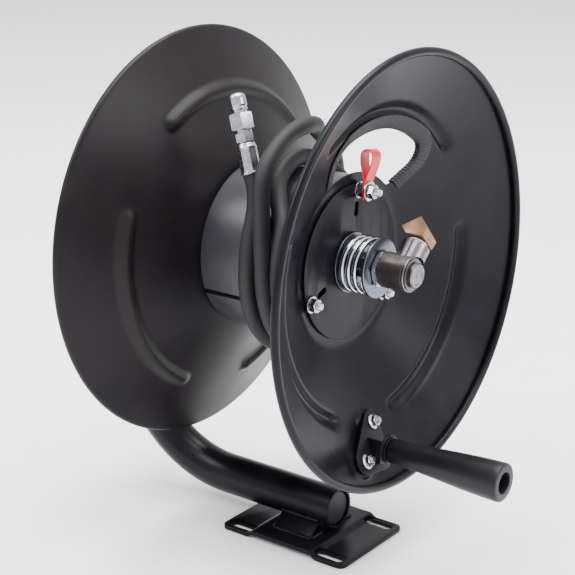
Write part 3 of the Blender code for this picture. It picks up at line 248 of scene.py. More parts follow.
def evaluated(obj: bpy.types.Object) -> bpy.types.Mesh:
    """Return a new mesh of an object with its modifiers applied."""
    bpy.context.view_layer.update()
    return bpy.data.meshes.new_from_object(obj.evaluated_get(bpy.context.evaluated_depsgraph_get()))


def shade(mesh: bpy.types.Mesh, sharp: float) -> None:
    """Shade a mesh smooth but for the edges over an angle in degrees."""
    mesh.shade_smooth()
    mesh.set_sharp_from_angle(angle=math.radians(sharp))


def spun(profile: Outline, frame: Matrix, steps: int = 64, closed: bool = True) -> Shape:
    """Spin a profile of (radius, height) points about local Z.

    Args:
        profile: the points, which may start and end on the axis.
        frame: where local Z stands.
        steps: segments in the full turn.
        closed: whether the last point joins the first.
    Returns:
        The spun shape, facing outwards.
    """
    shape = bmesh.new()
    verts = [shape.verts.new((r, 0.0, z)) for r, z in profile]
    pairs = list(zip(verts, verts[1:])) + ([(verts[-1], verts[0])] if closed else [])
    edges = [shape.edges.new(pair) for pair in pairs]
    bmesh.ops.spin(shape, geom=verts + edges, cent=(0, 0, 0), axis=(0, 0, 1), dvec=(0, 0, 0),
                   angle=2 * math.pi, steps=steps, use_merge=True, use_duplicate=False)
    bmesh.ops.remove_doubles(shape, verts=shape.verts, dist=0.000002)
    bmesh.ops.recalc_face_normals(shape, faces=shape.faces)
    shape.transform(frame)
    return shape


def cylinder(radius: float, low: float, high: float, frame: Matrix, steps: int = 48) -> Shape:
    """Make a plain cylinder between two heights on local Z."""
    return spun([(0, high), (radius, high), (radius, low), (0, low)], frame, steps, closed=False)


def flat(outlines: list[Outline], thickness: float, edge: float, frame: Matrix) -> Shape:
    """Make a plate with rounded edges, from local Z 0 up.

    Args:
        outlines: the outer outline, then the holes.
        thickness: of the plate.
        edge: radius of its edges.
        frame: where the outlines lie.
    Returns:
        The plate.
    """
    curve = bpy.data.curves.new("plate", "CURVE")
    curve.dimensions, curve.fill_mode = "2D", "BOTH"
    curve.extrude, curve.bevel_depth = thickness / 2 - edge, edge
    curve.bevel_resolution, curve.offset = 2, -edge
    for number, outline in enumerate(outlines):
        outer = number == 0
        points = outline if (signed_area(outline) > 0) == outer else outline[::-1]
        spline = curve.splines.new("POLY")
        spline.points.add(len(points) - 1)
        for point, (x, y) in zip(spline.points, points):
            point.co = (x, y, 0.0, 1.0)
        spline.use_cyclic_u = True
    obj = linked("plate", curve)
    mesh = evaluated(obj)
    shape = bmesh.new()
    shape.from_mesh(mesh)
    bpy.data.objects.remove(obj)
    bpy.data.meshes.remove(mesh)
    bmesh.ops.remove_doubles(shape, verts=shape.verts, dist=0.000005)
    bmesh.ops.recalc_face_normals(shape, faces=shape.faces)
    shape.transform(frame @ shift(0, 0, thickness / 2))
    return shape


def swept(stations: list[list[Vector]], caps: bool = True) -> Shape:
    """Carry a closed ring of points through a list of stations.

    Args:
        stations: the ring's points at each station, in the same order.
        caps: whether the ends are closed.
    Returns:
        The swept shape, with UVs in metres: U along it and V round it.
    """
    shape = bmesh.new()
    layer = shape.loops.layers.uv.new("UVMap")
    count = len(stations[0])
    ring = [shape.verts.new(place) for place in stations[0]]
    edges = [shape.edges.new((ring[i], ring[(i + 1) % count])) for i in range(count)]
    first = list(edges)
    marks = {vert: (0.0, i) for i, vert in enumerate(ring)}
    travel = 0.0
    middle = sum(stations[0], Vector()) / count
    girth = sum((a - b).length for a, b in zip(stations[0], stations[0][1:] + stations[0][:1]))
    for station in stations[1:]:
        grown = bmesh.ops.extrude_edge_only(shape, edges=edges)["geom"]
        fresh = {tuple(item.co): item for item in grown if isinstance(item, bmesh.types.BMVert)}
        ring = [fresh[tuple(vert.co)] for vert in ring]
        edges = [shape.edges.get((ring[i], ring[(i + 1) % count])) for i in range(count)]
        centre = sum(station, Vector()) / count
        travel += (centre - middle).length
        middle = centre
        for i, (vert, place) in enumerate(zip(ring, station)):
            vert.co = place
            marks[vert] = (travel, i)
    for face in shape.faces:
        last = any(marks[loop.vert][1] == count - 1 for loop in face.loops)
        for loop in face.loops:
            u, i = marks[loop.vert]
            loop[layer].uv = (u, girth * (count if last and i == 0 else i) / count)
    if caps:
        bmesh.ops.edgeloop_fill(shape, edges=first)
        bmesh.ops.edgeloop_fill(shape, edges=edges)
    bmesh.ops.recalc_face_normals(shape, faces=shape.faces)
    return shape


def round_stations(path: list[Vector], radius: float, sides: int, swell: list[float] | None = None
                   ) -> list[list[Vector]]:
    """Return circles square to a path, carried along it without twist.

    Args:
        path: the points that the tube follows.
        radius: of the tube.
        sides: points in each circle.
        swell: a factor on the radius at each point.
    Returns:
        One circle of points for each point of the path.
    """
    stations = []
    heading = (path[1] - path[0]).normalized()
    normal = heading.orthogonal().normalized()
    for i, place in enumerate(path):
        ahead = path[min(i + 1, len(path) - 1)] - path[max(i - 1, 0)]
        turn = heading.rotation_difference(ahead.normalized())
        normal = (turn @ normal).normalized()
        heading = ahead.normalized()
        side = heading.cross(normal)
        size = radius * (swell[i] if swell else 1.0)
        stations.append([place + (normal * math.cos(t) + side * math.sin(t)) * size
                         for t in (2 * math.pi * k / sides for k in range(sides))])
    return stations


def hex_nut(flats: float, height: float, bore: float, frame: Matrix) -> Shape:
    """Make a hexagon nut with its corners chamfered on both faces.

    Args:
        flats: width across the flats.
        height: of the nut.
        bore: radius of its hole, or 0 for none.
        frame: where its lower face lies.
    Returns:
        The nut.
    """
    crown = flats * 0.475               # radius of a face, inside its chamfer
    rim = crown * 1.1                   # moved out to the flats below
    shape = spun([(bore, height), (crown, height), (rim, height), (rim, 0.0), (crown, 0.0), (bore, 0.0)],
                 Matrix(), 72, closed=bore > 0)
    for vert in shape.verts:
        if vert.co.xy.length > (crown + rim) / 2:
            turn = math.atan2(vert.co.y, vert.co.x)
            off = (turn + math.pi / 6) % (math.pi / 3) - math.pi / 6
            radius = flats / 2 / math.cos(off)
            drop = (radius - crown) * 0.5
            vert.co.x, vert.co.y = radius * math.cos(turn), radius * math.sin(turn)
            vert.co.z = height - drop if vert.co.z > height / 2 else drop
    shape.transform(frame)
    return shape


def threaded(radius: float, start: float, end: float, pitch: float) -> Outline:
    """Return the outer profile of a threaded rod's end, from its tip down.

    Args:
        radius: over the thread.
        start: height of the tip.
        end: height where the thread stops.
        pitch: between two crests.
    Returns:
        The profile as (radius, height) points, from the axis.
    """
    profile = [(0.0, start), (radius * 0.78, start), (radius * 0.88, start - pitch * 0.5)]
    for i in range(int((start - end) / pitch)):
        top = start - pitch * (i + 0.6)
        profile += [(radius, top - pitch * 0.1), (radius, top - pitch * 0.25),
                    (radius * 0.87, top - pitch * 0.6)]
    return profile


def joined(*shapes: Shape) -> Shape:
    """Put several shapes into one."""
    whole = bmesh.new()
    for shape in shapes:
        mesh = as_mesh(shape, "part")
        whole.from_mesh(mesh)
        bpy.data.meshes.remove(mesh)
    return whole


def put(shape: Shape, name: str, look: bpy.types.Material, body: Body, *nodes: str,
        sharp: float = SHARP) -> bpy.types.Object:
    """Make a shape an object of the reel.

    Args:
        shape: the finished shape, in the world frame.
        name: of the object.
        look: its material.
        body: what it rides on.
        nodes: the frame's pieces that it stands for.
        sharp: angle from which an edge is shaded sharp, in degrees.
    Returns:
        The object.
    """
    mesh = as_mesh(shape, name)
    mesh.materials.append(look)
    shade(mesh, sharp)
    obj = linked(name, mesh)
    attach(obj, body.value)
    if nodes:
        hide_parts(*nodes)
    LOG.info("%s: %d faces", name, len(mesh.polygons))
    return obj


def cut(obj: bpy.types.Object, *cutters: Shape) -> None:
    """Cut shapes out of an object for good, and apply its other modifiers first.

    Args:
        obj: the object, which keeps its name and material.
        cutters: the shapes, in the world frame.
    """
    tools = []
    for cutter in cutters:
        tool = linked("tool", as_mesh(cutter, "tool"))
        tools.append(tool)
        step = obj.modifiers.new("Cut", "BOOLEAN")
        step.operation, step.solver, step.object = "DIFFERENCE", "EXACT", tool
    mesh = evaluated(obj)
    mesh.name = obj.name
    obj.modifiers.clear()
    obj.data = mesh
    shade(mesh, SHARP)
    for tool in tools:
        bpy.data.objects.remove(tool)


def walled(obj: bpy.types.Object, thickness: float) -> None:
    """Give a sheet its wall, on the side that it faces away from."""
    wall = obj.modifiers.new("Wall", "SOLIDIFY")
    wall.thickness, wall.offset, wall.use_even_offset = thickness, -1.0, True


# --- finishes ---


def linear(colour: str) -> tuple[float, float, float, float]:
    """Turn an sRGB hex colour into a linear one."""
    parts = [int(colour[i:i + 2], 16) / 255 for i in (1, 3, 5)]
    return tuple(c / 12.92 if c <= 0.04045 else ((c + 0.055) / 1.055) ** 2.4 for c in parts) + (1.0,)


def add_node(tree: bpy.types.NodeTree, kind: str, inputs: dict | None = None, **settings: object
             ) -> bpy.types.Node:
    """Add a node with its settings and links.

    Args:
        tree: the material's nodes.
        kind: the node's type.
        inputs: a value or another node's output for each input, by name or number.
        settings: the node's own properties.
    Returns:
        The node.
    """
    node = tree.nodes.new(kind)
    for key, value in settings.items():
        setattr(node, key, value)
    for key, value in (inputs or {}).items():
        if isinstance(value, bpy.types.NodeSocket):
            tree.links.new(value, node.inputs[key])
        else:
            node.inputs[key].default_value = value
    return node


def blend_ramp(tree: bpy.types.NodeTree, source: Socket, stops: list[tuple[float, str]]) -> Socket:
    """Return a colour that runs through stops as a value goes from 0 to 1.

    Args:
        tree: the material's nodes.
        source: the value.
        stops: positions with their sRGB colours.
    Returns:
        The colour's socket.
    """
    ramp = add_node(tree, "ShaderNodeValToRGB", {0: source})
    while len(ramp.color_ramp.elements) < len(stops):
        ramp.color_ramp.elements.new(0.5)
    for element, (position, colour) in zip(ramp.color_ramp.elements, stops):
        element.position, element.color = position, linear(colour)
    return ramp.outputs["Color"]


def noise(tree: bpy.types.NodeTree, place: Socket, scale: float, **more: float) -> Socket:
    """Return a noise texture's value, with its other inputs given by their names in lower case."""
    inputs = {"Vector": place, "Scale": scale} | {name.title(): value for name, value in more.items()}
    return add_node(tree, "ShaderNodeTexNoise", inputs).outputs[0]


def mapped(tree: bpy.types.NodeTree, value: Socket, *limits: float) -> Socket:
    """Return a value carried from the range of the first two limits to that of the last two."""
    return add_node(tree, "ShaderNodeMapRange", dict(enumerate((value, *limits)))).outputs[0]


def worked(tree: bpy.types.NodeTree, operation: str, *values: Socket | float) -> Socket:
    """Return the result of a math node."""
    return add_node(tree, "ShaderNodeMath", dict(enumerate(values)), operation=operation).outputs[0]


def laid_over(tree: bpy.types.NodeTree, share: Socket, colour: Socket, over: str) -> Socket:
    """Return a colour with a plain sRGB colour laid over it by a share."""
    inputs = {0: share, 6: colour, 7: linear(over)}
    return add_node(tree, "ShaderNodeMix", inputs, data_type="RGBA").outputs[2]


@dataclass(frozen=True)
class Finish:
    """A surface as it was made: two tones that cloud into each other, a grain and a gloss."""

    name: str
    colour: str
    shade: str
    roughness: float
    metallic: float = 0.0
    spread: float = 0.06            # of the roughness, either way
    cloud_mm: float = 40.0          # between the two tones
    grain_mm: float = 1.5
    bump_mm: float = 0.02
    marks: str = ""                 # colour of fine rubbed marks
    mark_mm: float = 9.0
    mark_share: float = 0.30
    pattern: Pattern = Pattern.EVEN
    coat: float = 0.0
    coat_roughness: float = 0.1
    specular: float = 0.5
    drawn_out: float = 0.012        # the grain's scale round the axle, as a share
    tape_line: float = 0.022        # width of the wrapped tape's edge, as a share of its pitch
    tape_colour: str = "#17151c"    # of that edge

    def build(self) -> bpy.types.Material:
        """Return the material with its nodes."""
        look = bpy.data.materials.new(self.name)
        look.use_nodes = True
        tree = look.node_tree
        tree.nodes.clear()
        coords = add_node(tree, "ShaderNodeTexCoord")
        place = coords.outputs["Object"]
        cloud = noise(tree, place, PER_METRE / self.cloud_mm, detail=4.0, roughness=0.6)
        colour = blend_ramp(tree, cloud, [(0.36, self.colour), (0.66, self.shade)])
        if self.marks:
            # Rubbed marks; on the far flange's powder they also paint its sheen.
            streak = noise(tree, place, PER_METRE / self.mark_mm, detail=7.0, roughness=0.72, distortion=0.6)
            rubbed_and_sheen = mapped(tree, streak, 0.60, 0.72, 0.0, self.mark_share)
            colour = laid_over(tree, rubbed_and_sheen, colour, self.marks)
        grain, colour = self.grain(tree, coords, colour)
        rough = mapped(tree, cloud, 0.3, 0.7, self.roughness - self.spread, self.roughness + self.spread)
        bump = add_node(tree, "ShaderNodeBump", {"Height": grain, "Strength": 1.0,
                                                 "Distance": self.bump_mm * MM})
        shader = add_node(tree, "ShaderNodeBsdfPrincipled", {
            "Base Color": colour, "Roughness": rough, "Metallic": self.metallic,
            "Normal": bump.outputs[0], "Coat Weight": self.coat, "Coat Roughness": self.coat_roughness,
            "Specular IOR Level": self.specular})
        add_node(tree, "ShaderNodeOutputMaterial", {"Surface": shader.outputs[0]})
        return look

    def grain(self, tree: bpy.types.NodeTree, coords: bpy.types.Node, colour: Socket
              ) -> tuple[Socket, Socket]:
        """Return the grain's height and the colour with the grain's lines in it.

        Args:
            tree: the material's nodes.
            coords: its texture coordinates.
            colour: the colour so far.
        Returns:
            The height's socket and the colour's.
        """
        place, scale = coords.outputs["Object"], PER_METRE / self.grain_mm
        if self.pattern is Pattern.WRAPPED:
            split = add_node(tree, "ShaderNodeSeparateXYZ", {0: coords.outputs["UV"]})
            along = worked(tree, "MULTIPLY", split.outputs[0], PER_METRE / self.mark_mm)
            girth = worked(tree, "MULTIPLY", split.outputs[1], 1 / (2 * math.pi * HOSE_RADIUS))
            part = worked(tree, "FRACT", worked(tree, "ADD", along, girth))
            line = worked(tree, "LESS_THAN", part, self.tape_line)
            dents = noise(tree, place, scale, detail=3.0)
            return worked(tree, "SUBTRACT", dents, line), laid_over(tree, line, colour, self.tape_colour)
        stretch = (scale, scale, scale)
        if self.pattern is Pattern.ROUND_AXLE:
            stretch = (scale, scale * self.drawn_out, scale * self.drawn_out)
        drawn = add_node(tree, "ShaderNodeMapping", {"Vector": place, "Scale": stretch}).outputs[0]
        return noise(tree, drawn, 1.0, detail=3.0, roughness=0.55), colour


# Epoxy-polyester powder, sprayed and baked: a semi-gloss skin with a faint orange peel.
POWDER = Finish("semi_gloss_black_powder_coat", "#0c0a10", "#121017", 0.31, spread=0.04, grain_mm=1.6,
                bump_mm=0.025, marks="#1d1b22", mark_mm=5.0, mark_share=0.10, specular=0.12)
# The same powder on the far flange's inside, in lighter, warmer tones and with more marks: painted sheen of
# the light on that face, over rubbed marks.
SHEEN_PAINTED_POWDER = Finish("powder_coat_with_painted_sheen", "#100d10", "#181417", 0.40, cloud_mm=70.0,
                       grain_mm=1.6, bump_mm=0.025, marks="#2a2525", mark_mm=8.0, mark_share=0.20,
                       specular=0.14)
# Rolled sheet, linished round the drum before a thin coat: fine lines run round it.
DRUM = Finish("linished_and_coated_drum_sheet", "#222026", "#2b292f", 0.34, metallic=0.30, grain_mm=0.7,
              bump_mm=0.012, cloud_mm=60.0, pattern=Pattern.ROUND_AXLE)
# Nylon, injection moulded in a spark-eroded tool: a fine satin texture.
NYLON = Finish("moulded_black_nylon", "#0e0d13", "#131218", 0.42, grain_mm=0.55, cloud_mm=30.0,
               specular=0.22)
# Nitrile cover, wrapped in tape while it was cured, which leaves thin slanting lines.
HOSE_COVER = Finish("tape_wrapped_nitrile_cover", "#121013", "#1a171b", 0.62, grain_mm=0.5, bump_mm=0.03,
                    cloud_mm=25.0, mark_mm=72.0, pattern=Pattern.WRAPPED, specular=0.3)
# Extruded PVC over steel clips, matte.
TRIM_PVC = Finish("extruded_black_pvc", "#0e0c11", "#161418", 0.50, grain_mm=0.6, specular=0.3)
# Soft PVC sheet, calendered: smooth, a little shiny, the colour deep in it.
RED_VINYL = Finish("calendered_red_vinyl", "#b80c14", "#c8151b", 0.36, spread=0.05, grain_mm=0.5,
                   bump_mm=0.008, cloud_mm=18.0, coat=0.25, coat_roughness=0.25)
# Bright zinc plate with a clear passivate: bluish, with dull patches.
ZINC = Finish("clear_passivated_zinc", "#b9bac2", "#8f9098", 0.24, metallic=1.0, spread=0.09, cloud_mm=5.0,
              grain_mm=0.4, bump_mm=0.006)
# Zinc over hot-rolled plate: the same, but with a coarse speckle.
ZINC_SPECKLE = Finish("speckled_zinc_on_plate", "#6f7480", "#50545e", 0.34, metallic=1.0, spread=0.10,
                      cloud_mm=2.2, grain_mm=0.8)
# Oil-hardened wire, ground and chromed: a near mirror.
CHROME = Finish("chromed_spring_wire", "#d5d6dc", "#bfc0c8", 0.13, metallic=1.0, spread=0.04, cloud_mm=12.0,
                grain_mm=0.8, bump_mm=0.004)
# Free-cutting steel, turned: fine rings round the axle.
TURNED = Finish("turned_free_cutting_steel", "#757276", "#5f5c60", 0.30, metallic=1.0, grain_mm=0.35,
                bump_mm=0.008, cloud_mm=10.0, pattern=Pattern.ROUND_AXLE)
# Steel casting, manganese phosphated and oiled: brownish grey with a soft bloom.
PHOSPHATE = Finish("manganese_phosphated_steel", "#6a6260", "#4e4847", 0.38, metallic=0.85, spread=0.10,
                   cloud_mm=11.0, grain_mm=0.5, bump_mm=0.015, marks="#79706d", mark_mm=4.0, mark_share=0.25)
# Forged brass, shot blasted and a little tarnished.
BRASS = Finish("tarnished_forged_brass", "#8b6b4e", "#735a45", 0.42, metallic=0.75, spread=0.08,
               cloud_mm=14.0, grain_mm=0.5, bump_mm=0.025, marks="#c29b6c", mark_mm=5.0, mark_share=0.35)
# Expanded PTFE tape, wound over a thread.
PTFE = Finish("white_ptfe_tape", "#e9e8ea", "#d5d3d7", 0.55, grain_mm=0.5, bump_mm=0.06)
# Pressed friction lining, dull and granular.
LINING = Finish("pressed_brake_lining", "#3a3733", "#26241f", 0.80, grain_mm=0.9, bump_mm=0.04)


class Looks:
    """Every finish of the reel, built once."""

    def __init__(self) -> None:
        """Build the materials."""
        self.powder = POWDER.build()
        # The far flange's powder, lighter and warmer: its sheen is painted in.
        self.rubbed_and_sheen = SHEEN_PAINTED_POWDER.build()
        self.drum = DRUM.build()
        self.nylon = NYLON.build()
        self.hose = HOSE_COVER.build()
        self.trim = TRIM_PVC.build()
        self.red = RED_VINYL.build()
        self.zinc = ZINC.build()
        self.speckle = ZINC_SPECKLE.build()
        self.chrome = CHROME.build()
        self.turned = TURNED.build()
        self.phosphate = PHOSPHATE.build()
        self.brass = BRASS.build()
        self.ptfe = PTFE.build()
        self.lining = LINING.build()

    def dress(self, nodes: dict[str, bpy.types.Object]) -> None:
        """Give the frame's own pieces that stay in sight their finishes.

        Args:
            nodes: the frame's pieces by name.
        """
        plain = {"manifold_sleeve": self.turned, "near_bush": self.turned, "far_bush": self.turned,
                 "swivel_seal_1": self.trim, "swivel_seal_2": self.trim, "axle_cross_pin": self.zinc,
                 "brake_disc": self.lining, "outlet_pipe": self.brass, "grip_spindle": self.zinc,
                 "spindle_nut": self.zinc, "crank_bolt_1": self.zinc, "crank_bolt_2": self.zinc,
                 "arm_end_plug": self.nylon}
        for name, look in plain.items():
            for slot in nodes[name].material_slots:
                slot.material = look


# --- hose ---


@dataclass
class Hose:
    """The wound hose with the fittings on both its ends."""

    radius: float = HOSE_RADIUS
    lane: float = 0.09655
    stations: int = 420
    sides: int = 24
    coarse: int = 78
    ferrule: float = 0.030
    ferrule_radius: float = 0.0100
    ferrule_middle: float = 119.2
    route: tuple[tuple[float, float, float], ...] = (
        (150, 0.0, 0.0450), (180, 0.0, 0.0465), (225, 0.0, 0.0465), (270, 0.0, 0.0465), (285, 0.0, 0.0455),
        (300, 0.0, 0.0415), (314, 0.0, 0.0265), (329, 0.0, 0.0105), (354, 0.0, -0.0025), (370, 0.0, -0.0075),
        (390, 0.0, -0.0055), (420, 0.0, 0.0025), (450, 0.0, 0.0105), (495, 0.0, 0.0195), (540, 0.0, 0.0255),
        (590, 0.0, 0.0275), (632, 0.0, 0.0275), (652, 0.0085, 0.0270), (666, 0.0185, 0.0225),
        (683, 0.0345, 0.0175), (705, 0.0365, 0.0115), (717, 0.0365, 0.0105), (730, 0.0335, 0.0025),
        (740, 0.0280, -0.0075), (765, 0.0195, -0.0155), (780, 0.0135, -0.0195), (810, 0.0045, -0.0175),
        (840, 0.0005, -0.0105), (900, 0.0, -0.0015), (950, 0.0, 0.0045), (992, 0.0, 0.0075),
        (1010, 0.0015, 0.0075), (1023.7, 0.0062, 0.0085), (1030.8, 0.0111, 0.0070), (1036.7, 0.0184, 0.0045),
        (1041.4, 0.0276, -0.0010))

    def outlet(self, distance: float) -> tuple[float, float]:
        """Return the radius and angle of a point on the first ferrule's line, from its middle."""
        nearest = DRUM_RADIUS + self.ferrule_radius + 0.0005
        turn = math.degrees(math.atan2(distance, nearest))
        return math.hypot(nearest, distance), self.ferrule_middle + turn

    def dense(self) -> list[Vector]:
        """Return closely spaced places on the hose's smooth line."""
        start_radius, start_angle = self.outlet(self.ferrule / 2 + 0.0036)
        route = [(start_angle, start_radius, OUTLET_X)]
        route += [(turn, self.lane + out, x) for turn, out, x in self.route]
        places = []
        for i in range(len(route) - 1):
            four = route[max(i - 1, 0)], route[i], route[i + 1], route[min(i + 2, len(route) - 1)]
            for step in range(24):
                t = step / 24
                turn, out, x = (0.5 * (2 * b + (c - a) * t + (2 * a - 5 * b + 4 * c - d) * t ** 2
                                       + (3 * b - a - 3 * c + d) * t ** 3) for a, b, c, d in zip(*four))
                places.append(around(x, out, turn))
        turn, out, x = route[-1]
        return places + [around(x, out, turn)]

    def spaced(self, count: int) -> list[Vector]:
        """Return places an even distance apart along the hose.

        Args:
            count: how many.
        Returns:
            The places, from the outlet to the free end.
        """
        places = self.dense()
        travel = [0.0]
        for first, second in zip(places, places[1:]):
            travel.append(travel[-1] + (second - first).length)
        points, k = [], 0
        for i in range(count):
            goal = travel[-1] * i / (count - 1)
            while k < len(travel) - 2 and travel[k + 1] < goal:
                k += 1
            part = (goal - travel[k]) / (travel[k + 1] - travel[k])
            points.append(places[k].lerp(places[k + 1], min(1.0, part)))
        return points

    def build(self, looks: Looks) -> None:
        """Args:
            looks: the finishes.
        """
        path = self.spaced(self.stations)
        cover = put(swept(round_stations(path, self.radius, self.sides)), "wound_hose", looks.hose, Body.REEL,
                    "hose")
        middle = around(OUTLET_X, *self.outlet(0.0))
        along = (around(OUTLET_X, *self.outlet(0.01)) - middle).normalized()
        first = self.stand(middle - along * self.ferrule / 2, along)
        inlet = put(self.crimped(self.ferrule + 0.003, first), "inlet_crimp", looks.zinc, Body.REEL,
                    "hose_inlet_ferrule")
        coarse = self.spaced(self.coarse)
        along = (coarse[-1] - coarse[-2]).normalized()
        end = self.stand(coarse[-1] + along * GAP, along)
        crimp = put(self.crimped(0.031, end @ shift(0, 0, -0.002)), "end_crimp", looks.zinc, Body.REEL,
                    "hose_ferrule")
        nuts = joined(hex_nut(0.0170, 0.0095, 0.0, end @ shift(0, 0, 0.0292)),
                      cylinder(0.0080, 0.0, 0.0060, end @ shift(0, 0, 0.0370), 64),
                      hex_nut(0.0218, 0.0170, 0.0, end @ shift(0, 0, 0.0412)))
        nut = put(nuts, "end_swivel_nut", looks.zinc, Body.REEL, "hose_swivel_nut")
        nose = eased([(0.0, 0.0205), (0.0048, 0.0205), (0.0066, 0.0196), (0.0080, 0.0175), (0.0084, 0.0150),
                      (0.0084, 0.0085), (0.0079, 0.0072), (0.0079, 0.0062), (0.0083, 0.0054),
                      (0.0070, 0.0034), (0.0070, 0.0), (0.0, 0.0)], 0.0006, closed=False)
        plug = put(spun(nose, end @ shift(0, 0, 0.0572), closed=False), "quick_connect_nose", looks.zinc,
                   Body.REEL, "quick_connect_plug")

    def stand(self, place: Vector, along: Vector) -> Matrix:
        """Return a frame at a place with local Z along a direction."""
        return Matrix.Translation(place) @ along.to_track_quat("Z", "X").to_matrix().to_4x4()

    def crimped(self, length: float, frame: Matrix) -> Shape:
        """Make a crimped ferrule with the eight flats that the dies leave.

        Args:
            length: of the ferrule.
            frame: where its mouth lies, with local Z towards the fitting.
        Returns:
            The ferrule.
        """
        radius = self.ferrule_radius
        profile = [(0.0, length), (radius - 0.0022, length), (radius - 0.0014, length - 0.0010),
                   (radius - 0.0008, length - 0.0030), (radius, length - 0.0045), (radius, length - 0.0060)]
        profile += [(radius, length - 0.0060 - (length - 0.0085) * i / 6) for i in range(1, 7)]
        profile += [(radius + 0.0003, 0.0018), (radius + 0.0002, 0.0004), (radius - 0.0006, 0.0), (0.0, 0.0)]
        shape = spun(eased(profile, 0.0004, closed=False), Matrix(), 96, closed=False)
        for vert in shape.verts:
            share = min(1.0, max(0.0, min(vert.co.z - 0.0025, length - 0.0040 - vert.co.z) / 0.0020))
            if vert.co.xy.length > radius - 0.0010 and share:
                turn = math.atan2(vert.co.y, vert.co.x)
                vert.co.xy *= 1.0 - 0.085 * share * abs(math.cos(4 * turn)) ** 1.5
        shape.transform(frame)
        return shape


# --- flanges, drum and hubs ---


@dataclass
class Flange:
    """A dished steel flange with three pressed ribs and a rolled rim."""

    side: int = 1
    bore: float = 0.064
    curl: float = 0.0028
    sheet: float = 0.0015
    rim: float = 0.2157
    depth: float = 0.071
    rib_radius: float = 0.158
    rib_half_width: float = 0.0092
    rib_depth: float = 0.006
    rib_half_span: float = 40.3
    steps: int = 240

    def height(self, radius: float) -> float:
        """Return how far the outer surface stands out from the flat centre."""
        return max(0.0, radius - FLAT_RADIUS) * math.tan(CONE_ANGLE)

    def rib(self, radius: float, angle: float) -> float:
        """Return how far the nearest rib is pressed in at a point, round ends included."""
        along = abs((angle - REEL_ANGLE + 60.0) % 120.0 - 60.0)
        past = math.radians(max(0.0, along - self.rib_half_span)) * radius
        share = math.hypot(radius - self.rib_radius, past) / self.rib_half_width
        return self.rib_depth * (0.5 + 0.5 * math.cos(math.pi * min(1.0, share)))

    def profile(self) -> Outline:
        """Return the outer surface as (radius, height) points, from the bore to the end of the curl."""
        hub = eased([(self.bore, 0.0), (FLAT_RADIUS, 0.0), (0.098, self.height(0.098))], 0.006, False, 5)
        cone = [(r * MM, self.height(r * MM)) for r in range(100, 215, 2)]
        slope = math.degrees(CONE_ANGLE)
        return hub + cone + arc(self.rim, self.depth, self.curl, 270 + slope, 560 + slope, 22)

    def build(self, look: bpy.types.Material) -> bpy.types.Object:
        """Make the flange as a sheet with its wall still a modifier.

        Args:
            look: its finish.
        Returns:
            The flange.
        """
        shape = spun([(r, self.side * z) for r, z in self.profile()], Matrix(), self.steps, closed=False)
        for vert in shape.verts:
            radius = vert.co.xy.length
            angle = -math.degrees(math.atan2(vert.co.y, vert.co.x))
            vert.co.z -= self.side * (self.rib(radius, angle) - self.press(vert.co))
        flat_face = min(shape.faces, key=lambda face: face.calc_center_median().xy.length)
        if flat_face.normal.z * self.side < 0:
            bmesh.ops.reverse_faces(shape, faces=shape.faces)
        shape.transform(axial(self.side * HUB_X))
        name = "near_flange_sheet" if self.side > 0 else "far_flange_sheet"
        node = "near_flange" if self.side > 0 else "far_flange"
        flange = put(shape, name, look, Body.REEL, node)
        walled(flange, self.sheet)
        return flange

    def press(self, place: Vector) -> float:
        """Return how far a point is pressed outwards, which it isn't on a plain flange."""
        return 0.0


@dataclass
class CrankFlange(Flange):
    """The flange on the crank's side, with raised seats for the crank and an access opening."""

    half_span: float = 35.5
    inner: float = 0.091
    outer: float = 0.139
    corner: float = 0.020
    inner_corner: float = 0.006
    seat_height: float = 0.0045
    seat_radius: float = 0.0175
    seat_blend: float = 0.38        # of its radius, where the seat rises

    def press(self, place: Vector) -> float:
        """Return how far the crank's two seats raise a point."""
        world = axial(HUB_X) @ Vector((place.x, place.y, self.height(place.xy.length)))
        local = Crank().frame().inverted() @ world
        raised = 0.0
        for x, y in Crank().bolts:
            share = math.hypot(local.x - x, local.y - y) / self.seat_radius
            raised = max(raised, self.seat_height * smooth_step((1.0 - share) / self.seat_blend))
        return raised / math.cos(CONE_ANGLE)

    def edge(self) -> tuple[Outline, Outline]:
        """Return half the opening's edge: the arch with its side, and the bottom."""
        outer, inner = self.outer - self.corner, self.inner + self.inner_corner
        outer_turn = self.half_span - math.degrees(math.asin(self.corner / outer))
        inner_turn = self.half_span - math.degrees(math.asin(self.inner_corner / inner))
        arch = arc(0, 0, self.outer, 0, outer_turn, 12)
        x, y = outer * math.cos(math.radians(outer_turn)), outer * math.sin(math.radians(outer_turn))
        arch += arc(x, y, self.corner, outer_turn, self.half_span + 90, 12)[1:]
        x, y = inner * math.cos(math.radians(inner_turn)), inner * math.sin(math.radians(inner_turn))
        low = arc(x, y, self.inner_corner, self.half_span + 90, inner_turn + 180, 6)
        return arch + low[:1], low[1:] + arc(0, 0, self.inner, inner_turn, 0, 10)[1:]

    def open_up(self, flange: bpy.types.Object) -> None:
        """Cut the access opening.

        Args:
            flange: the flange's object.
        """
        side, bottom = self.edge()
        half = side + bottom
        outline = half + [(x, -y) for x, y in half[-2:0:-1]]
        cut(flange, flat([outline], 0.08, 0.0, axial(HUB_X - 0.02, REEL_ANGLE)))


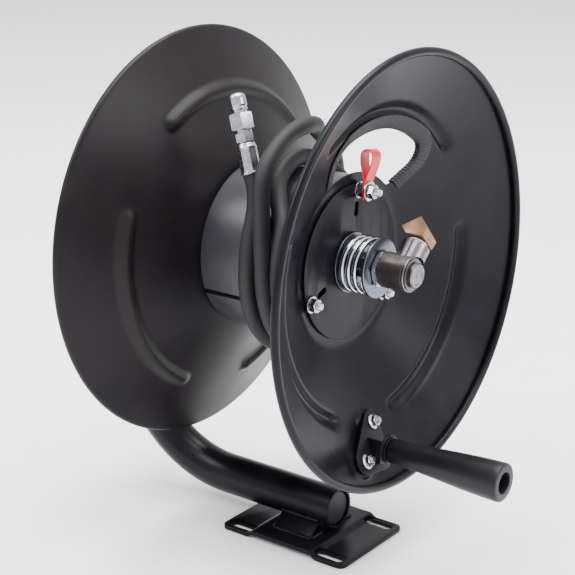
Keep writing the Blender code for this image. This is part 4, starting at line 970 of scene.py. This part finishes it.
@dataclass
class EdgeTrim:
    """The U-section strip clipped over the opening's edge, slit across so that it bends."""

    flap: float = 0.0125
    leg: float = 0.007
    wall: float = 0.0016
    gap: float = 0.0005
    spacing: float = 0.00075
    slit_every: int = 4

    def path(self) -> Outline:
        """Return evenly spaced points along the arch and sides of the opening."""
        side = CrankFlange().edge()[0]
        corners = [Vector((x, -y)) for x, y in side[:0:-1]] + [Vector(p) for p in side]
        points, left = [tuple(corners[0])], self.spacing
        for first, second in zip(corners, corners[1:]):
            run = (second - first).length
            while left <= run:
                place = first.lerp(second, left / run)
                points.append((place.x, place.y))
                left += self.spacing
            left -= run
        return points

    def build(self, looks: Looks) -> None:
        """Make the strip.

        Args:
            looks: the finishes.
        """
        back = -Flange.sheet - self.gap
        outer = self.gap + self.wall
        points = self.path()
        frame = axial(HUB_X, REEL_ANGLE)
        height = Flange().height
        stations = []
        for i, (x, y) in enumerate(points):
            before, after = points[max(i - 3, 0)], points[min(i + 3, len(points) - 1)]
            along = Vector((after[0] - before[0], after[1] - before[1])).normalized()
            away = Vector((along.y, -along.x))
            slit = i % self.slit_every == 0
            left = (len(points) - i) / len(points)
            flap = self.flap * min(1.0, 0.42 + 2.2 * left)
            top = outer - (0.0004 if slit else 0.0)
            inner = -self.gap - self.wall + (0.0006 if slit else 0.0)
            ring = [(inner + 0.0005, back - self.wall), (self.leg, back - self.wall), (self.leg, back),
                    (-self.gap, back), (-self.gap, self.gap), (flap, self.gap),
                    (flap + 0.0003, (self.gap + top) / 2), (flap - 0.0004, top), (0.0035, top + 0.0003),
                    (inner + 0.0010, top), (inner + 0.0002, top - 0.0005), (inner, 0.0), (inner, back)]
            station = []
            for out, lift in ring:
                place = Vector((x, y)) + away * out
                z = height(place.length) + lift / math.cos(CONE_ANGLE)
                station.append(frame @ Vector((place.x, place.y, z)))
            stations.append(station)
        put(swept(stations), "opening_edge_strip", looks.trim, Body.REEL, "edge_trim", sharp=28.0)


@dataclass
class Drum:
    """The rolled drum with the hole for the water outlet's pipe, and its hub discs."""

    sheet: float = 0.0015
    seam: float = 247.0
    seam_width: float = 0.005
    turned_in: tuple[tuple[float, float], ...] = ((0.006, 0.0), (0.0012, 0.0), (0.0003, 0.35))
    reach: float = 0.0597
    port_angle: float = 102.6
    port_radius: float = 0.0085
    disc_radius: float = 0.0795
    disc_sheet: float = 0.0025
    slot_circle: float = 0.054

    def build(self, looks: Looks) -> None:
        """Make the drum and both hub discs.

        Args:
            looks: the finishes.
        """
        half = math.degrees(self.seam_width / 2 / DRUM_RADIUS)
        start, end = self.seam + half, self.seam - half + 360
        turns = [start + (end - start) * i / 180 for i in range(181)]
        line = [(DRUM_RADIUS - deep, start + past) for deep, past in self.turned_in]
        line += [(DRUM_RADIUS, turn) for turn in turns[1:-1]]
        line += [(DRUM_RADIUS - deep, end - past) for deep, past in reversed(self.turned_in)]
        shape = bmesh.new()
        verts = [shape.verts.new(around(-self.reach, r, turn)) for r, turn in line]
        edges = [shape.edges.new(pair) for pair in zip(verts, verts[1:])]
        grown = bmesh.ops.extrude_edge_only(shape, edges=edges)["geom"]
        moved = [item for item in grown if isinstance(item, bmesh.types.BMVert)]
        bmesh.ops.translate(shape, verts=moved, vec=(2 * self.reach, 0, 0))
        bmesh.ops.recalc_face_normals(shape, faces=shape.faces)
        middle = shape.faces[:][len(shape.faces) // 2]
        centre = middle.calc_center_median() - Vector((0, 0, AXLE_Z))
        if middle.normal.dot(Vector((0, centre.y, centre.z))) < 0:
            bmesh.ops.reverse_faces(shape, faces=shape.faces)
        drum = put(shape, "drum_sheet", looks.drum, Body.REEL, "drum_shell")
        walled(drum, self.sheet)
        port = radial(OUTLET_X, self.port_angle, DRUM_RADIUS)
        cut(drum, cylinder(self.port_radius, -0.015, 0.015, port, 32))
        for name, x in (("near_hub", HUB_X + GAP), ("far_hub", -DISC_FACE)):
            put(self.hub(x), name, looks.powder, Body.REEL, name + "_disc")

    def hub(self, x: float) -> Shape:
        """Make a hub disc with its holes and slots, from a distance along the axle."""
        outlines = [ring_of(0, 0, self.disc_radius, 120), ring_of(0, 0, 0.0173)]
        for k in range(3):
            angle = REEL_ANGLE + 120 * k
            c, s = math.cos(math.radians(angle)), -math.sin(math.radians(angle))
            outlines.append(ring_of(ROD_CIRCLE * c, ROD_CIRCLE * s, 0.0044, 24))
            outlines.append(stadium(self.slot_circle * c, self.slot_circle * s, 0.015, 0.006, -angle))
        return flat(outlines, self.disc_sheet, 0.0005, axial(x))


@dataclass
class Rods:
    """The rods that clamp the reel, with their nuts and washers, and the strap on the first."""

    radius: float = 0.004
    pitch: float = 0.00125
    stick_out: float = 0.013
    strap_stick_out: float = 0.0265
    washer_radius: float = 0.0085
    washer: float = 0.0016
    nut: float = 0.0065
    flats: float = 0.013
    nut_bore: float = 0.0041
    washer_bore: float = 0.0042
    strap_thickness: float = 0.0014
    strap_width: float = 0.015
    strap_height: float = 0.042
    strap_spread: float = 0.0150

    def build(self, looks: Looks) -> None:
        """Make every rod with what is on it.

        Args:
            looks: the finishes.
        """
        for number in (1, 2, 3):
            at = axial(0.0, REEL_ANGLE + 120 * (number - 1)) @ shift(ROD_CIRCLE)
            near = DISC_FACE + (self.strap_stick_out if number == 1 else self.stick_out)
            far = -DISC_FACE - self.stick_out
            core = self.radius * 0.9
            low = threaded(self.radius, near, near - self.stick_out, self.pitch)
            rod = threaded(self.radius, near, DISC_FACE - 0.004, self.pitch)
            rod += [(core, DISC_FACE - 0.008), (core, -DISC_FACE + 0.004)]
            rod += [(r, near + far - z) for r, z in reversed(low)]
            put(spun(rod, at, 32, closed=False), f"rod_{number}", looks.zinc, Body.REEL,
                f"tie_rod_{number}")
            x = DISC_FACE + GAP
            put(self.disc(at @ shift(0, 0, x)), f"rod_washer_{number}", looks.zinc, Body.REEL,
                f"near_rod_washer_{number}")
            x += self.washer + GAP
            put(self.nut_at(at, x, 17 * number), f"rod_nut_{number}", looks.zinc, Body.REEL,
                f"near_rod_nut_{number}")
            x = -DISC_FACE - GAP - self.nut
            put(self.nut_at(at, x, -11 * number), f"back_rod_nut_{number}", looks.zinc, Body.REEL,
                f"far_rod_nut_{number}")
        at = axial(0.0, REEL_ANGLE) @ shift(ROD_CIRCLE)
        x = DISC_FACE + 3 * GAP + self.washer + self.nut
        self.strap(x, looks)
        x += 2 * self.strap_thickness + GAP
        put(self.disc(at @ shift(0, 0, x), 0.0015), "strap_front_washer", looks.zinc, Body.REEL,
            "strap_washer")
        x += self.washer + GAP
        put(self.nut_at(at, x, 8), "strap_front_nut", looks.zinc, Body.REEL, "strap_nut")

    def nut_at(self, rod: Matrix, x: float, angle: float) -> Shape:
        """Make a nut on a rod's frame, from a distance along it, turned by an angle in degrees."""
        return hex_nut(self.flats, self.nut, self.nut_bore, rod @ shift(0, 0, x) @ turned(angle))

    def disc(self, frame: Matrix, extra: float = 0.0) -> Shape:
        """Make a washer, larger by an extra radius."""
        outer = self.washer_radius + extra
        ring = [(outer, self.washer), (outer, 0.0), (self.washer_bore, 0.0), (self.washer_bore, self.washer)]
        return spun(eased(ring, 0.0003), frame, 48)

    def strap(self, x: float, looks: Looks) -> None:
        """Make the folded strap.

        Args:
            x: where its inner ply starts, along the axle.
            looks: the finishes.
        """
        thick, wide = self.strap_thickness, self.strap_spread / 2
        top = self.strap_height - wide
        outer, inner = [], []
        low = self.washer_radius + 0.001
        for i in range(37):
            t = i / 36
            rise = low + (top - low) * t
            swell = thick + (wide - thick) * math.sin(t * math.pi / 2) ** 1.25
            outer.append((swell, rise))
            if swell > thick * 1.25:
                inner.append((swell - thick, rise))
        outer = [(thick, -self.washer_radius)] + outer + arc(0, top, wide, 4, 90, 12)
        inner = inner + arc(0, top, wide - thick, 4, 90, 12)
        tip = (0.0, inner[0][1] - 0.002)
        whole = outer + [(-px, py) for px, py in outer[-2::-1]]
        hole = [tip] + inner + [(-px, py) for px, py in inner[-2::-1]]
        base = radial(x + thick, REEL_ANGLE, ROD_CIRCLE) @ turned(90, "X")
        shape = flat([whole, hole], self.strap_width, 0.0003, base @ shift(0, 0, -self.strap_width / 2))
        put(shape, "red_strap_loop", looks.red, Body.REEL, "strap_loop", sharp=50.0)


# --- axle, brake and inlet ---


@dataclass
class AxleStack:
    """What is threaded on the axle's near end: brake spring, washers and nut, and the water inlet."""

    axle: float = 0.0127
    seat: float = 0.0646
    spring: float = 0.0669
    spring_length: float = 0.0292
    spring_radius: float = 0.0272
    wire: float = 0.0026
    turns: float = 3.25
    washer: float = 0.0964
    nut: float = 0.0997
    swivel: float = 0.1060
    swivel_end: float = 0.1365
    circlip: float = 0.1368
    circlip_thickness: float = 0.0012
    end: float = 0.1430
    port_x: float = 0.12552
    port_angle: float = 47.0
    collar_radius: float = 0.0145
    collar_height: float = 0.0330
    elbow_gap: float = 0.0045
    elbow_width: float = 0.026

    def build(self, looks: Looks) -> None:
        """Make every piece on the near end of the axle.

        Args:
            looks: the finishes.
        """
        put(self.ring(AXLE_HOLE, 0.0308, self.seat, 0.002, 0.0004), "spring_seat", looks.speckle, Body.STAND,
            "spring_seat_washer")
        put(self.ring(AXLE_HOLE, 0.0306, self.washer, 0.003, 0.0008), "brake_plate_washer", looks.speckle,
            Body.STAND, "brake_washer")
        put(hex_nut(0.034, 0.006, AXLE_HOLE, axial(self.nut, 12)), "brake_adjusting_nut", looks.zinc,
            Body.STAND, "brake_nut")
        self.coil(looks)
        groove, far = self.axle - 0.001, -0.0942
        low, high = self.circlip - GAP, self.circlip + self.circlip_thickness + GAP
        end, sunk = self.end, self.end - 0.0006
        shaft = [(0.0, end), (0.0020, end), (0.0022, sunk), (0.0090, sunk), (0.0096, end),
                 (self.axle - 0.0012, end), (self.axle, end - 0.0012), (self.axle, high), (groove, high),
                 (groove, low), (self.axle, low), (self.axle, far), (0.0, far)]
        put(spun(eased(shaft, 0.0003, False), axial(0.0), closed=False), "turned_axle", looks.turned,
            Body.STAND, "axle_shaft")
        clip = self.ring(self.axle - 0.0007, self.axle + 0.0035, self.circlip, self.circlip_thickness, 0.0002)
        put(clip, "retaining_ring", looks.phosphate, Body.STAND, "swivel_circlip")
        self.inlet(looks)

    def ring(self, inner: float, outer: float, x: float, thickness: float, edge: float) -> Shape:
        """Make a ring round the axle with eased edges."""
        profile = [(outer, thickness), (outer, 0.0), (inner, 0.0), (inner, thickness)]
        return spun(eased(profile, edge), axial(x), 96)

    def coil(self, looks: Looks) -> None:
        """Make the brake spring, whose end coils lie flat.

        Args:
            looks: the finishes.
        """
        count = int(56 * self.turns)
        path = []
        for i in range(count + 1):
            t = i / count
            x = self.spring + self.wire + (self.spring_length - 2 * self.wire) * t
            path.append(around(x, self.spring_radius, REEL_ANGLE + 150 + 360 * self.turns * t))
        put(swept(round_stations(path, self.wire, 18)), "brake_coil_spring", looks.chrome, Body.STAND,
            "brake_spring")

    def inlet(self, looks: Looks) -> None:
        """Make the swivel's body, its port collar, the thread tape and the brass elbow.

        Args:
            looks: the finishes.
        """
        start, end = self.swivel, self.swivel_end - 0.0028
        outer, bore = 0.0180, 0.0088
        body = [(outer, end), (outer, start + 0.0006), (0.0174, start), (AXLE_HOLE, start), (AXLE_HOLE, end)]
        shell = put(spun(eased(body, 0.0005), axial(0.0), 96), "swivel_casting", looks.phosphate, Body.SWIVEL,
                    "swivel_body")
        cut(shell, cylinder(bore, 0.0, 0.02, radial(self.port_x, self.port_angle, 0.009)))
        face = [(AXLE_HOLE, end + 0.0028), (0.0172, end + 0.0028), (outer, end + 0.0020),
                (outer, end + 0.0001), (AXLE_HOLE, end + 0.0001)]
        put(spun(eased(face, 0.0003), axial(0.0), 96), "swivel_bright_face", looks.turned, Body.SWIVEL)
        port = radial(self.port_x, self.port_angle)
        top, wide = self.collar_height, self.collar_radius
        stub = [(wide, 0.009), (wide, top - 0.0012), (wide - 0.0012, top), (bore, top), (bore, 0.009)]
        collar = put(spun(eased(stub, 0.0004), port, 72), "inlet_port_collar", looks.turned, Body.SWIVEL,
                     "port_collar")
        cut(collar, cylinder(outer + 0.00005, -0.06, 0.06, axial(self.port_x), 96))
        tape = [(0.0092, top + 0.0001), (0.0106, top + 0.0004), (0.0103, top + 0.0026),
                (0.0092, top + 0.0030)]
        put(spun(eased(tape, 0.0003), port, 48), "thread_seal_tape", looks.ptfe, Body.SWIVEL)
        self.elbow(looks, port)

    def elbow(self, looks: Looks, port: Matrix) -> None:
        """Make the brass block that turns the water through 45 degrees.

        Args:
            looks: the finishes.
            port: the port's frame, with local Z out from the axle.
        """
        base = self.collar_height + self.elbow_gap
        outline = [(-0.0105, 0.0), (0.0100, 0.0), (0.0110, 0.0098), (-0.0020, 0.0218), (-0.0185, 0.0072)]
        upright = port @ shift(0, 0, base) @ turned(90, "X") @ shift(0, 0, -self.elbow_width / 2)
        block = flat([eased(outline, 0.0008)], self.elbow_width, 0.0007, upright)
        neck = threaded(0.0092, base + 0.0015, 0.024, 0.0013)
        neck = spun(neck + [(0.0078, 0.0235), (0.0, 0.0235)], port, 48, closed=False)
        elbow = put(joined(block, neck), "brass_inlet_elbow", looks.brass, Body.SWIVEL, "inlet_elbow")
        mouth = port @ shift(-0.01025, 0.0, base + 0.0145) @ turned(-41.5, "Y")
        cut(elbow, cylinder(0.0078, -0.0095, 0.01, mouth))


# --- stand ---


@dataclass
class Stand:
    """The slotted floor plate, the cradle, the bent arm and the axle's housing."""

    middle: float = 0.0148
    length: float = 0.160
    width: float = 0.115
    thickness: float = 0.005
    slot_x: float = 0.057
    slot_y: float = 0.046
    rise: float = 0.004
    raised: float = 0.037
    joggle: float = 0.009
    arm: float = 0.022
    wall: float = 0.003
    low: float = 0.0346
    bend: float = 0.1377
    reach: float = 0.0965
    open_end: float = 0.0525
    top_end: float = -0.0742
    saddle_length: float = 0.048

    def build(self, looks: Looks) -> None:
        """Make everything that stays still, but for the axle.

        Args:
            looks: the finishes.
        """
        self.plate(looks)
        self.tube(looks)
        self.saddle(looks)
        self.welds(looks)
        plug = 0.0183
        housing = [(self.arm, 0.0), (self.arm, -0.006), (plug, -0.006), (plug, -0.026), (AXLE_HOLE, -0.026),
                   (AXLE_HOLE, 0.0)]
        put(spun(eased(housing, 0.0008), axial(-0.0679), 72), "arm_top_housing", looks.powder, Body.STAND,
            "axle_housing")

    def plate(self, looks: Looks) -> None:
        """Make the floor plate, its middle pressed up, with a sunk rim round each slot.

        Args:
            looks: the finishes.
        """
        half, deep = self.length / 2, self.width / 2
        middles = [(sx * self.slot_x, sy * self.slot_y) for sx in (-1, 1) for sy in (-1, 1)]
        slots = [stadium(x, y, 0.032, 0.010) for x, y in middles]
        edge = eased(box(-half, -deep, half, deep), 0.0095, steps=6)
        shape = flat([edge] + slots, self.thickness, 0.0011, Matrix())
        for side in (-1, 1):
            for k in range(11):
                x = side * (self.raised + self.joggle * k / 10)
                everything = shape.verts[:] + shape.edges[:] + shape.faces[:]
                bmesh.ops.bisect_plane(shape, geom=everything, plane_co=(x, 0, 0), plane_no=(1, 0, 0),
                                       dist=1e-6)
        for vert in shape.verts:
            vert.co.z += self.rise * smooth_step((self.raised + self.joggle - abs(vert.co.x)) / self.joggle)
        shape.transform(shift(self.middle))
        plate = put(shape, "slotted_floor_plate", looks.powder, Body.STAND, "base_plate")
        at = shift(self.middle, 0, self.thickness - 0.0007)
        cut(plate, *[flat([stadium(x, y, 0.0385, 0.0165)], 0.004, 0.0, at) for x, y in middles])

    def tube(self, looks: Looks) -> None:
        """Make the bent arm tube with its open lower end.

        Args:
            looks: the finishes.
        """
        line = [(self.open_end, self.low), (self.open_end - 0.03, self.low)]
        line += arc(-self.reach, self.low + self.bend, self.bend, 270, 90, 72)
        line += [(self.top_end, self.low + 2 * self.bend)]
        path = [Vector((REEL_X + x, 0.0, z)) for x, z in line]
        stations = round_stations(path, self.arm, 56)
        inside = round_stations(path, self.arm - self.wall, 56)
        lip, tail = ([[a.lerp(b, t) for a, b in zip(stations[end], inside[end])] for t in (0.12, 0.88)]
                     for end in (0, -1))
        eased_out = [place + Vector((-0.0005, 0, 0)) for place in stations[0]]
        rings = [inside[0], lip[1], lip[0], eased_out] + stations[1:] + tail + inside[:0:-1]
        shape = swept(rings + [inside[0]], caps=False)
        bmesh.ops.remove_doubles(shape, verts=shape.verts, dist=0.000002)
        bmesh.ops.recalc_face_normals(shape, faces=shape.faces)
        put(shape, "bent_arm_tube", looks.powder, Body.STAND, "arm_tube")

    def saddle(self, looks: Looks) -> None:
        """Make the formed cradle under the arm.

        Args:
            looks: the finishes.
        """
        base, foot = 0.0093, 0.036
        tip = (0.02295, self.low - 0.01225)
        cradle = arc(0, self.low, self.arm + GAP, -30, -150, 32)
        outline = [(-foot, base), (foot, base), (foot, base + 0.003), tip, *cradle, (-tip[0], tip[1]),
                   (-foot, base + 0.003)]
        window = eased([(0.0152, base + 0.003), (foot - 0.0048, base + 0.003), (0.0224, 0.02095)], 0.0015)
        along = shift(self.middle - self.saddle_length / 2) @ turned(90) @ turned(90, "X")
        shape = flat([outline, window, [(-x, z) for x, z in window]], self.saddle_length, 0.0006, along)
        put(shape, "formed_saddle", looks.powder, Body.STAND, "arm_saddle")

    def welds(self, looks: Looks) -> None:
        """Lay the rippled weld beads that join the arm, the cradle and the plate.

        Args:
            looks: the finishes.
        """
        ends = [self.middle + side * self.saddle_length / 2 for side in (-1, 1)]
        turns = [math.radians(angle) for angle in range(24, 62, 6)]
        lines = []
        for side in (-1, 1):
            for y, z in ((0.0213, 0.0247), (0.0366, 0.0098)):
                lines.append([Vector((x, side * y, z)) for x in ends])
            for x in (ends[0] - 0.0004, ends[1] + 0.0004):
                lines.append([Vector((x, side * y, 0.0102)) for y in (0.0170, 0.0355)])
                lines.append([Vector((x, side * math.sin(turn) * 0.0224, self.low - math.cos(turn) * 0.0224))
                              for turn in turns])
        shapes = []
        for line in lines:
            path: list[Vector] = []
            for first, second in zip(line, line[1:]):
                steps = max(2, int((second - first).length / 0.0006))
                path += [first.lerp(second, k / steps) for k in range(steps)]
            path.append(line[-1])
            swell = [1.0 + 0.30 * abs(math.sin(k * 0.80)) + 0.12 * math.sin(k * 0.23)
                     for k in range(len(path))]
            swell[0] = swell[-1] = 0.55
            shapes.append(swept(round_stations(path, 0.0020, 12, swell)))
        put(joined(*shapes), "weld_beads", looks.powder, Body.STAND, sharp=60.0)


# --- crank ---


@dataclass
class Crank:
    """The bolted crank bracket with its lug, and the handle that spins on its spindle."""

    angle: float = REEL_ANGLE - 176.7
    start: float = 0.157
    bolts: tuple[tuple[float, float], ...] = ((-0.0115, 0.003), (0.0175, 0.0405))
    seat: float = 0.0048
    plate: float = 0.003
    lug_x: float = 0.1322
    grip_radius: float = 0.179
    grip_angle: float = REEL_ANGLE - 180.1
    grip_x: float = 0.1350
    length: float = 0.1266
    narrow: float = 0.0125
    wide: float = 0.0193

    def frame(self) -> Matrix:
        """Return the crank's frame: X round the reel, Y out along the cone, Z off the cone."""
        out, axis = outward(self.angle), Vector((1.0, 0.0, 0.0))
        slope = out * math.cos(CONE_ANGLE) + axis * math.sin(CONE_ANGLE)
        off = axis * math.cos(CONE_ANGLE) - out * math.sin(CONE_ANGLE)
        rise = (self.start - FLAT_RADIUS) * math.tan(CONE_ANGLE)
        return framed(out.cross(axis), slope, off, around(HUB_X + rise, self.start, self.angle))

    def hull(self, corners: list[tuple[float, float, float]], steps: int = 10) -> Outline:
        """Return an outline round circles, given as (x, y, radius), counter-clockwise."""
        def leave(a: tuple[float, float, float], b: tuple[float, float, float]) -> float:
            """Return the direction of the tangent's normal from one circle to the next."""
            heading = math.atan2(b[1] - a[1], b[0] - a[0])
            spread = math.asin((b[2] - a[2]) / math.hypot(b[0] - a[0], b[1] - a[1]))
            return math.degrees(heading - spread) - 90
        points: Outline = []
        for i, corner in enumerate(corners):
            begin = leave(corners[i - 1], corner)
            finish = leave(corner, corners[(i + 1) % len(corners)])
            points += arc(corner[0], corner[1], corner[2], begin, begin + (finish - begin) % 360, steps)
        return points

    def build(self, looks: Looks) -> None:
        """Make the bracket, its nuts and the handle.

        Args:
            looks: the finishes.
        """
        frame = self.frame()
        outline = self.hull([(-0.0115, 0.002, 0.012), (0.019, 0.0405, 0.014), (-0.015, 0.040, 0.012)])
        plate = flat([outline], self.plate, 0.0007, frame @ shift(0, 0, self.seat))
        grip = around(self.lug_x, self.grip_radius, self.grip_angle)
        turn = axial(0.0, self.angle).to_3x3().to_4x4()
        face = Matrix.Translation(grip - Vector((self.plate, 0.0, 0.0))) @ turn
        corners = self.hull([(-0.001, -0.001, 0.0145), (0.0105, -0.0130, 0.0030), (0.0105, 0.0125, 0.0030)])
        lug = flat([corners, ring_of(0, 0, 0.0064)], self.plate, 0.0008, face)
        deep = 0.0225
        below = face @ shift(0, 0, self.plate - 0.0006 - deep)
        ledge, ear = (flat([eased(box(*limits), 0.0012)], deep, 0.0005, below) for limits in (
            (0.0100, -0.0150, 0.0133, 0.0140), (-0.0100, -0.0158, 0.0128, -0.0126)))
        put(joined(plate, lug, ledge, ear), "crank_bracket_plate", looks.powder, Body.REEL, "crank_bracket")
        face_z = self.seat + self.plate + GAP
        for number, place in enumerate(self.bolts, 1):
            at = frame @ shift(*place, face_z)
            put(self.flange_nut(at, 20.0 * number), f"serrated_nut_{number}", looks.zinc, Body.REEL,
                f"crank_nut_{number}")
            tip = threaded(0.0031, 0.0094, 0.0055, 0.0010)
            put(spun(tip + [(0.0026, 0.0045), (0.0, 0.0045)], at, 32, closed=False), f"bolt_tip_{number}",
                looks.zinc, Body.REEL)
        axis = axial(0.0, self.grip_angle) @ shift(self.grip_radius)
        collar = [(0.0138, 0.0020), (0.0138, 0.0), (0.0063, 0.0), (0.0063, 0.0020)]
        put(spun(eased(collar, 0.0005), axis @ shift(0, 0, self.lug_x + GAP), 72), "spindle_ring",
            looks.powder, Body.REEL, "spindle_collar")
        self.handle(looks, axis)

    def flange_nut(self, frame: Matrix, angle: float) -> Shape:
        """Make a nut with a serrated flange.

        Args:
            frame: where it sits.
            angle: of its flats, in degrees.
        Returns:
            The nut.
        """
        profile = [(0.0078, 0.0011), (0.0078, 0.0002), (0.0033, 0.0), (0.0033, 0.0020), (0.0056, 0.0020)]
        skirt = spun(eased(profile, 0.0002), Matrix(), 96)
        for vert in skirt.verts:
            if vert.co.xy.length > 0.0070:
                turn = math.atan2(vert.co.y, vert.co.x)
                vert.co.xy *= 1.0 - 0.05 * (0.5 + 0.5 * math.sin(turn * 24))
        skirt.transform(frame)
        return joined(skirt, hex_nut(0.0100, 0.0050, 0.0030, frame @ shift(0, 0, 0.0012) @ turned(angle)))

    def handle(self, looks: Looks, axis: Matrix) -> None:
        """Make the moulded handle, wider towards its free end, with a deep counterbore.

        Args:
            looks: the finishes.
            axis: the spindle's frame, with local Z along the axle from the reel's middle.
        """
        length, grow = self.length, self.wide - self.narrow
        outside = [(self.narrow - 0.0016, 0.0), (self.narrow - 0.0004, 0.0004), (self.narrow, 0.0016)]
        for i in range(1, 25):
            t = i / 25
            swell = 0.10 * t + 0.90 * smooth_step(t)
            outside.append((self.narrow + grow * swell, length * (0.012 + 0.965 * t)))
        outside += [(self.wide, length - 0.0026), (self.wide - 0.0005, length - 0.0010),
                    (self.wide - 0.0018, length - 0.0001), (self.wide - 0.0024, length)]
        deep = length - 0.045
        inside = [(0.0112, length), (0.0104, length - 0.0007), (0.0103, length - 0.0020), (0.0103, deep),
                  (0.0064, deep), (0.0064, 0.0)]
        put(spun(outside + inside, axis @ shift(0, 0, self.grip_x), 96), "crank_handle", looks.nylon,
            Body.GRIP, "crank_grip")


# --- studio ---


@dataclass
class Studio:
    """The camera, the pale floor and the soft lights."""

    place: tuple[float, float, float] = (0.8707, -1.1832, 0.7410)
    look: tuple[float, float, float] = (-0.5722, 0.7615, -0.3045)
    lens: float = 93.46
    aim: tuple[float, float, float] = (0.0, 0.0, 0.28)

    def camera(self) -> None:
        """Make the scene's camera."""
        data = bpy.data.cameras.new("camera")
        data.lens, data.sensor_width, data.clip_start, data.clip_end = self.lens, 36.0, 0.05, 50.0
        data.dof.use_dof = False
        camera = linked("camera", data)
        camera.location = self.place
        camera.rotation_euler = Vector(self.look).to_track_quat("-Z", "Y").to_euler()
        bpy.context.scene.camera = camera

    def light(self, name: str, place: tuple[float, float, float], size: float, power: float) -> None:
        """Hang one square soft box that faces the reel.

        Args:
            name: of the light.
            place: where it hangs.
            size: of its side.
            power: in watts.
        """
        data = bpy.data.lights.new(name, "AREA")
        data.shape, data.size, data.energy = "SQUARE", size, power
        lamp = linked(name, data)
        lamp.location = place
        lamp.rotation_euler = (Vector(self.aim) - Vector(place)).to_track_quat("-Z", "Y").to_euler()

    def build(self) -> None:
        """Light the room and lay the floor."""
        world = bpy.data.worlds.new("studio")
        bpy.context.scene.world = world
        world.use_nodes = True
        background = world.node_tree.nodes["Background"]
        background.inputs["Color"].default_value = (1.0, 1.0, 1.0, 1.0)
        background.inputs["Strength"].default_value = 1.5
        self.light("key", (-1.7, -1.5, 2.4), 1.2, 70.0)
        self.light("side", (2.6, 0.6, 1.5), 1.2, 55.0)
        self.light("top", (0.0, 0.3, 3.4), 2.8, 330.0)
        shape = bmesh.new()
        bmesh.ops.create_grid(shape, x_segments=1, y_segments=1, size=6.0)
        mesh = as_mesh(shape, "studio_floor")
        look = Finish("matte_white_paper", "#f4f4f5", "#f7f7f8", 0.75, grain_mm=2.0, bump_mm=0.01).build()
        mesh.materials.append(look)
        floor = linked("studio_floor", mesh)
        floor.location.z = -0.0002


def main() -> None:
    """Build the reel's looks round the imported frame."""
    logging.basicConfig(level=logging.INFO, format="%(name)s %(message)s")
    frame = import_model()
    looks = Looks()
    Studio().camera()
    Hose().build(looks)
    # The far flange wears the powder with painted sheen.
    far = Flange(side=-1).build(looks.rubbed_and_sheen)
    cut(far)
    crank_side = CrankFlange()
    crank_side.open_up(crank_side.build(looks.powder))
    EdgeTrim().build(looks)
    Drum().build(looks)
    Rods().build(looks)
    AxleStack().build(looks)
    Stand().build(looks)
    Crank().build(looks)
    looks.dress(frame["nodes"])
    Studio().build()
    bpy.context.view_layer.update()


if __name__ == "__main__":
    main()
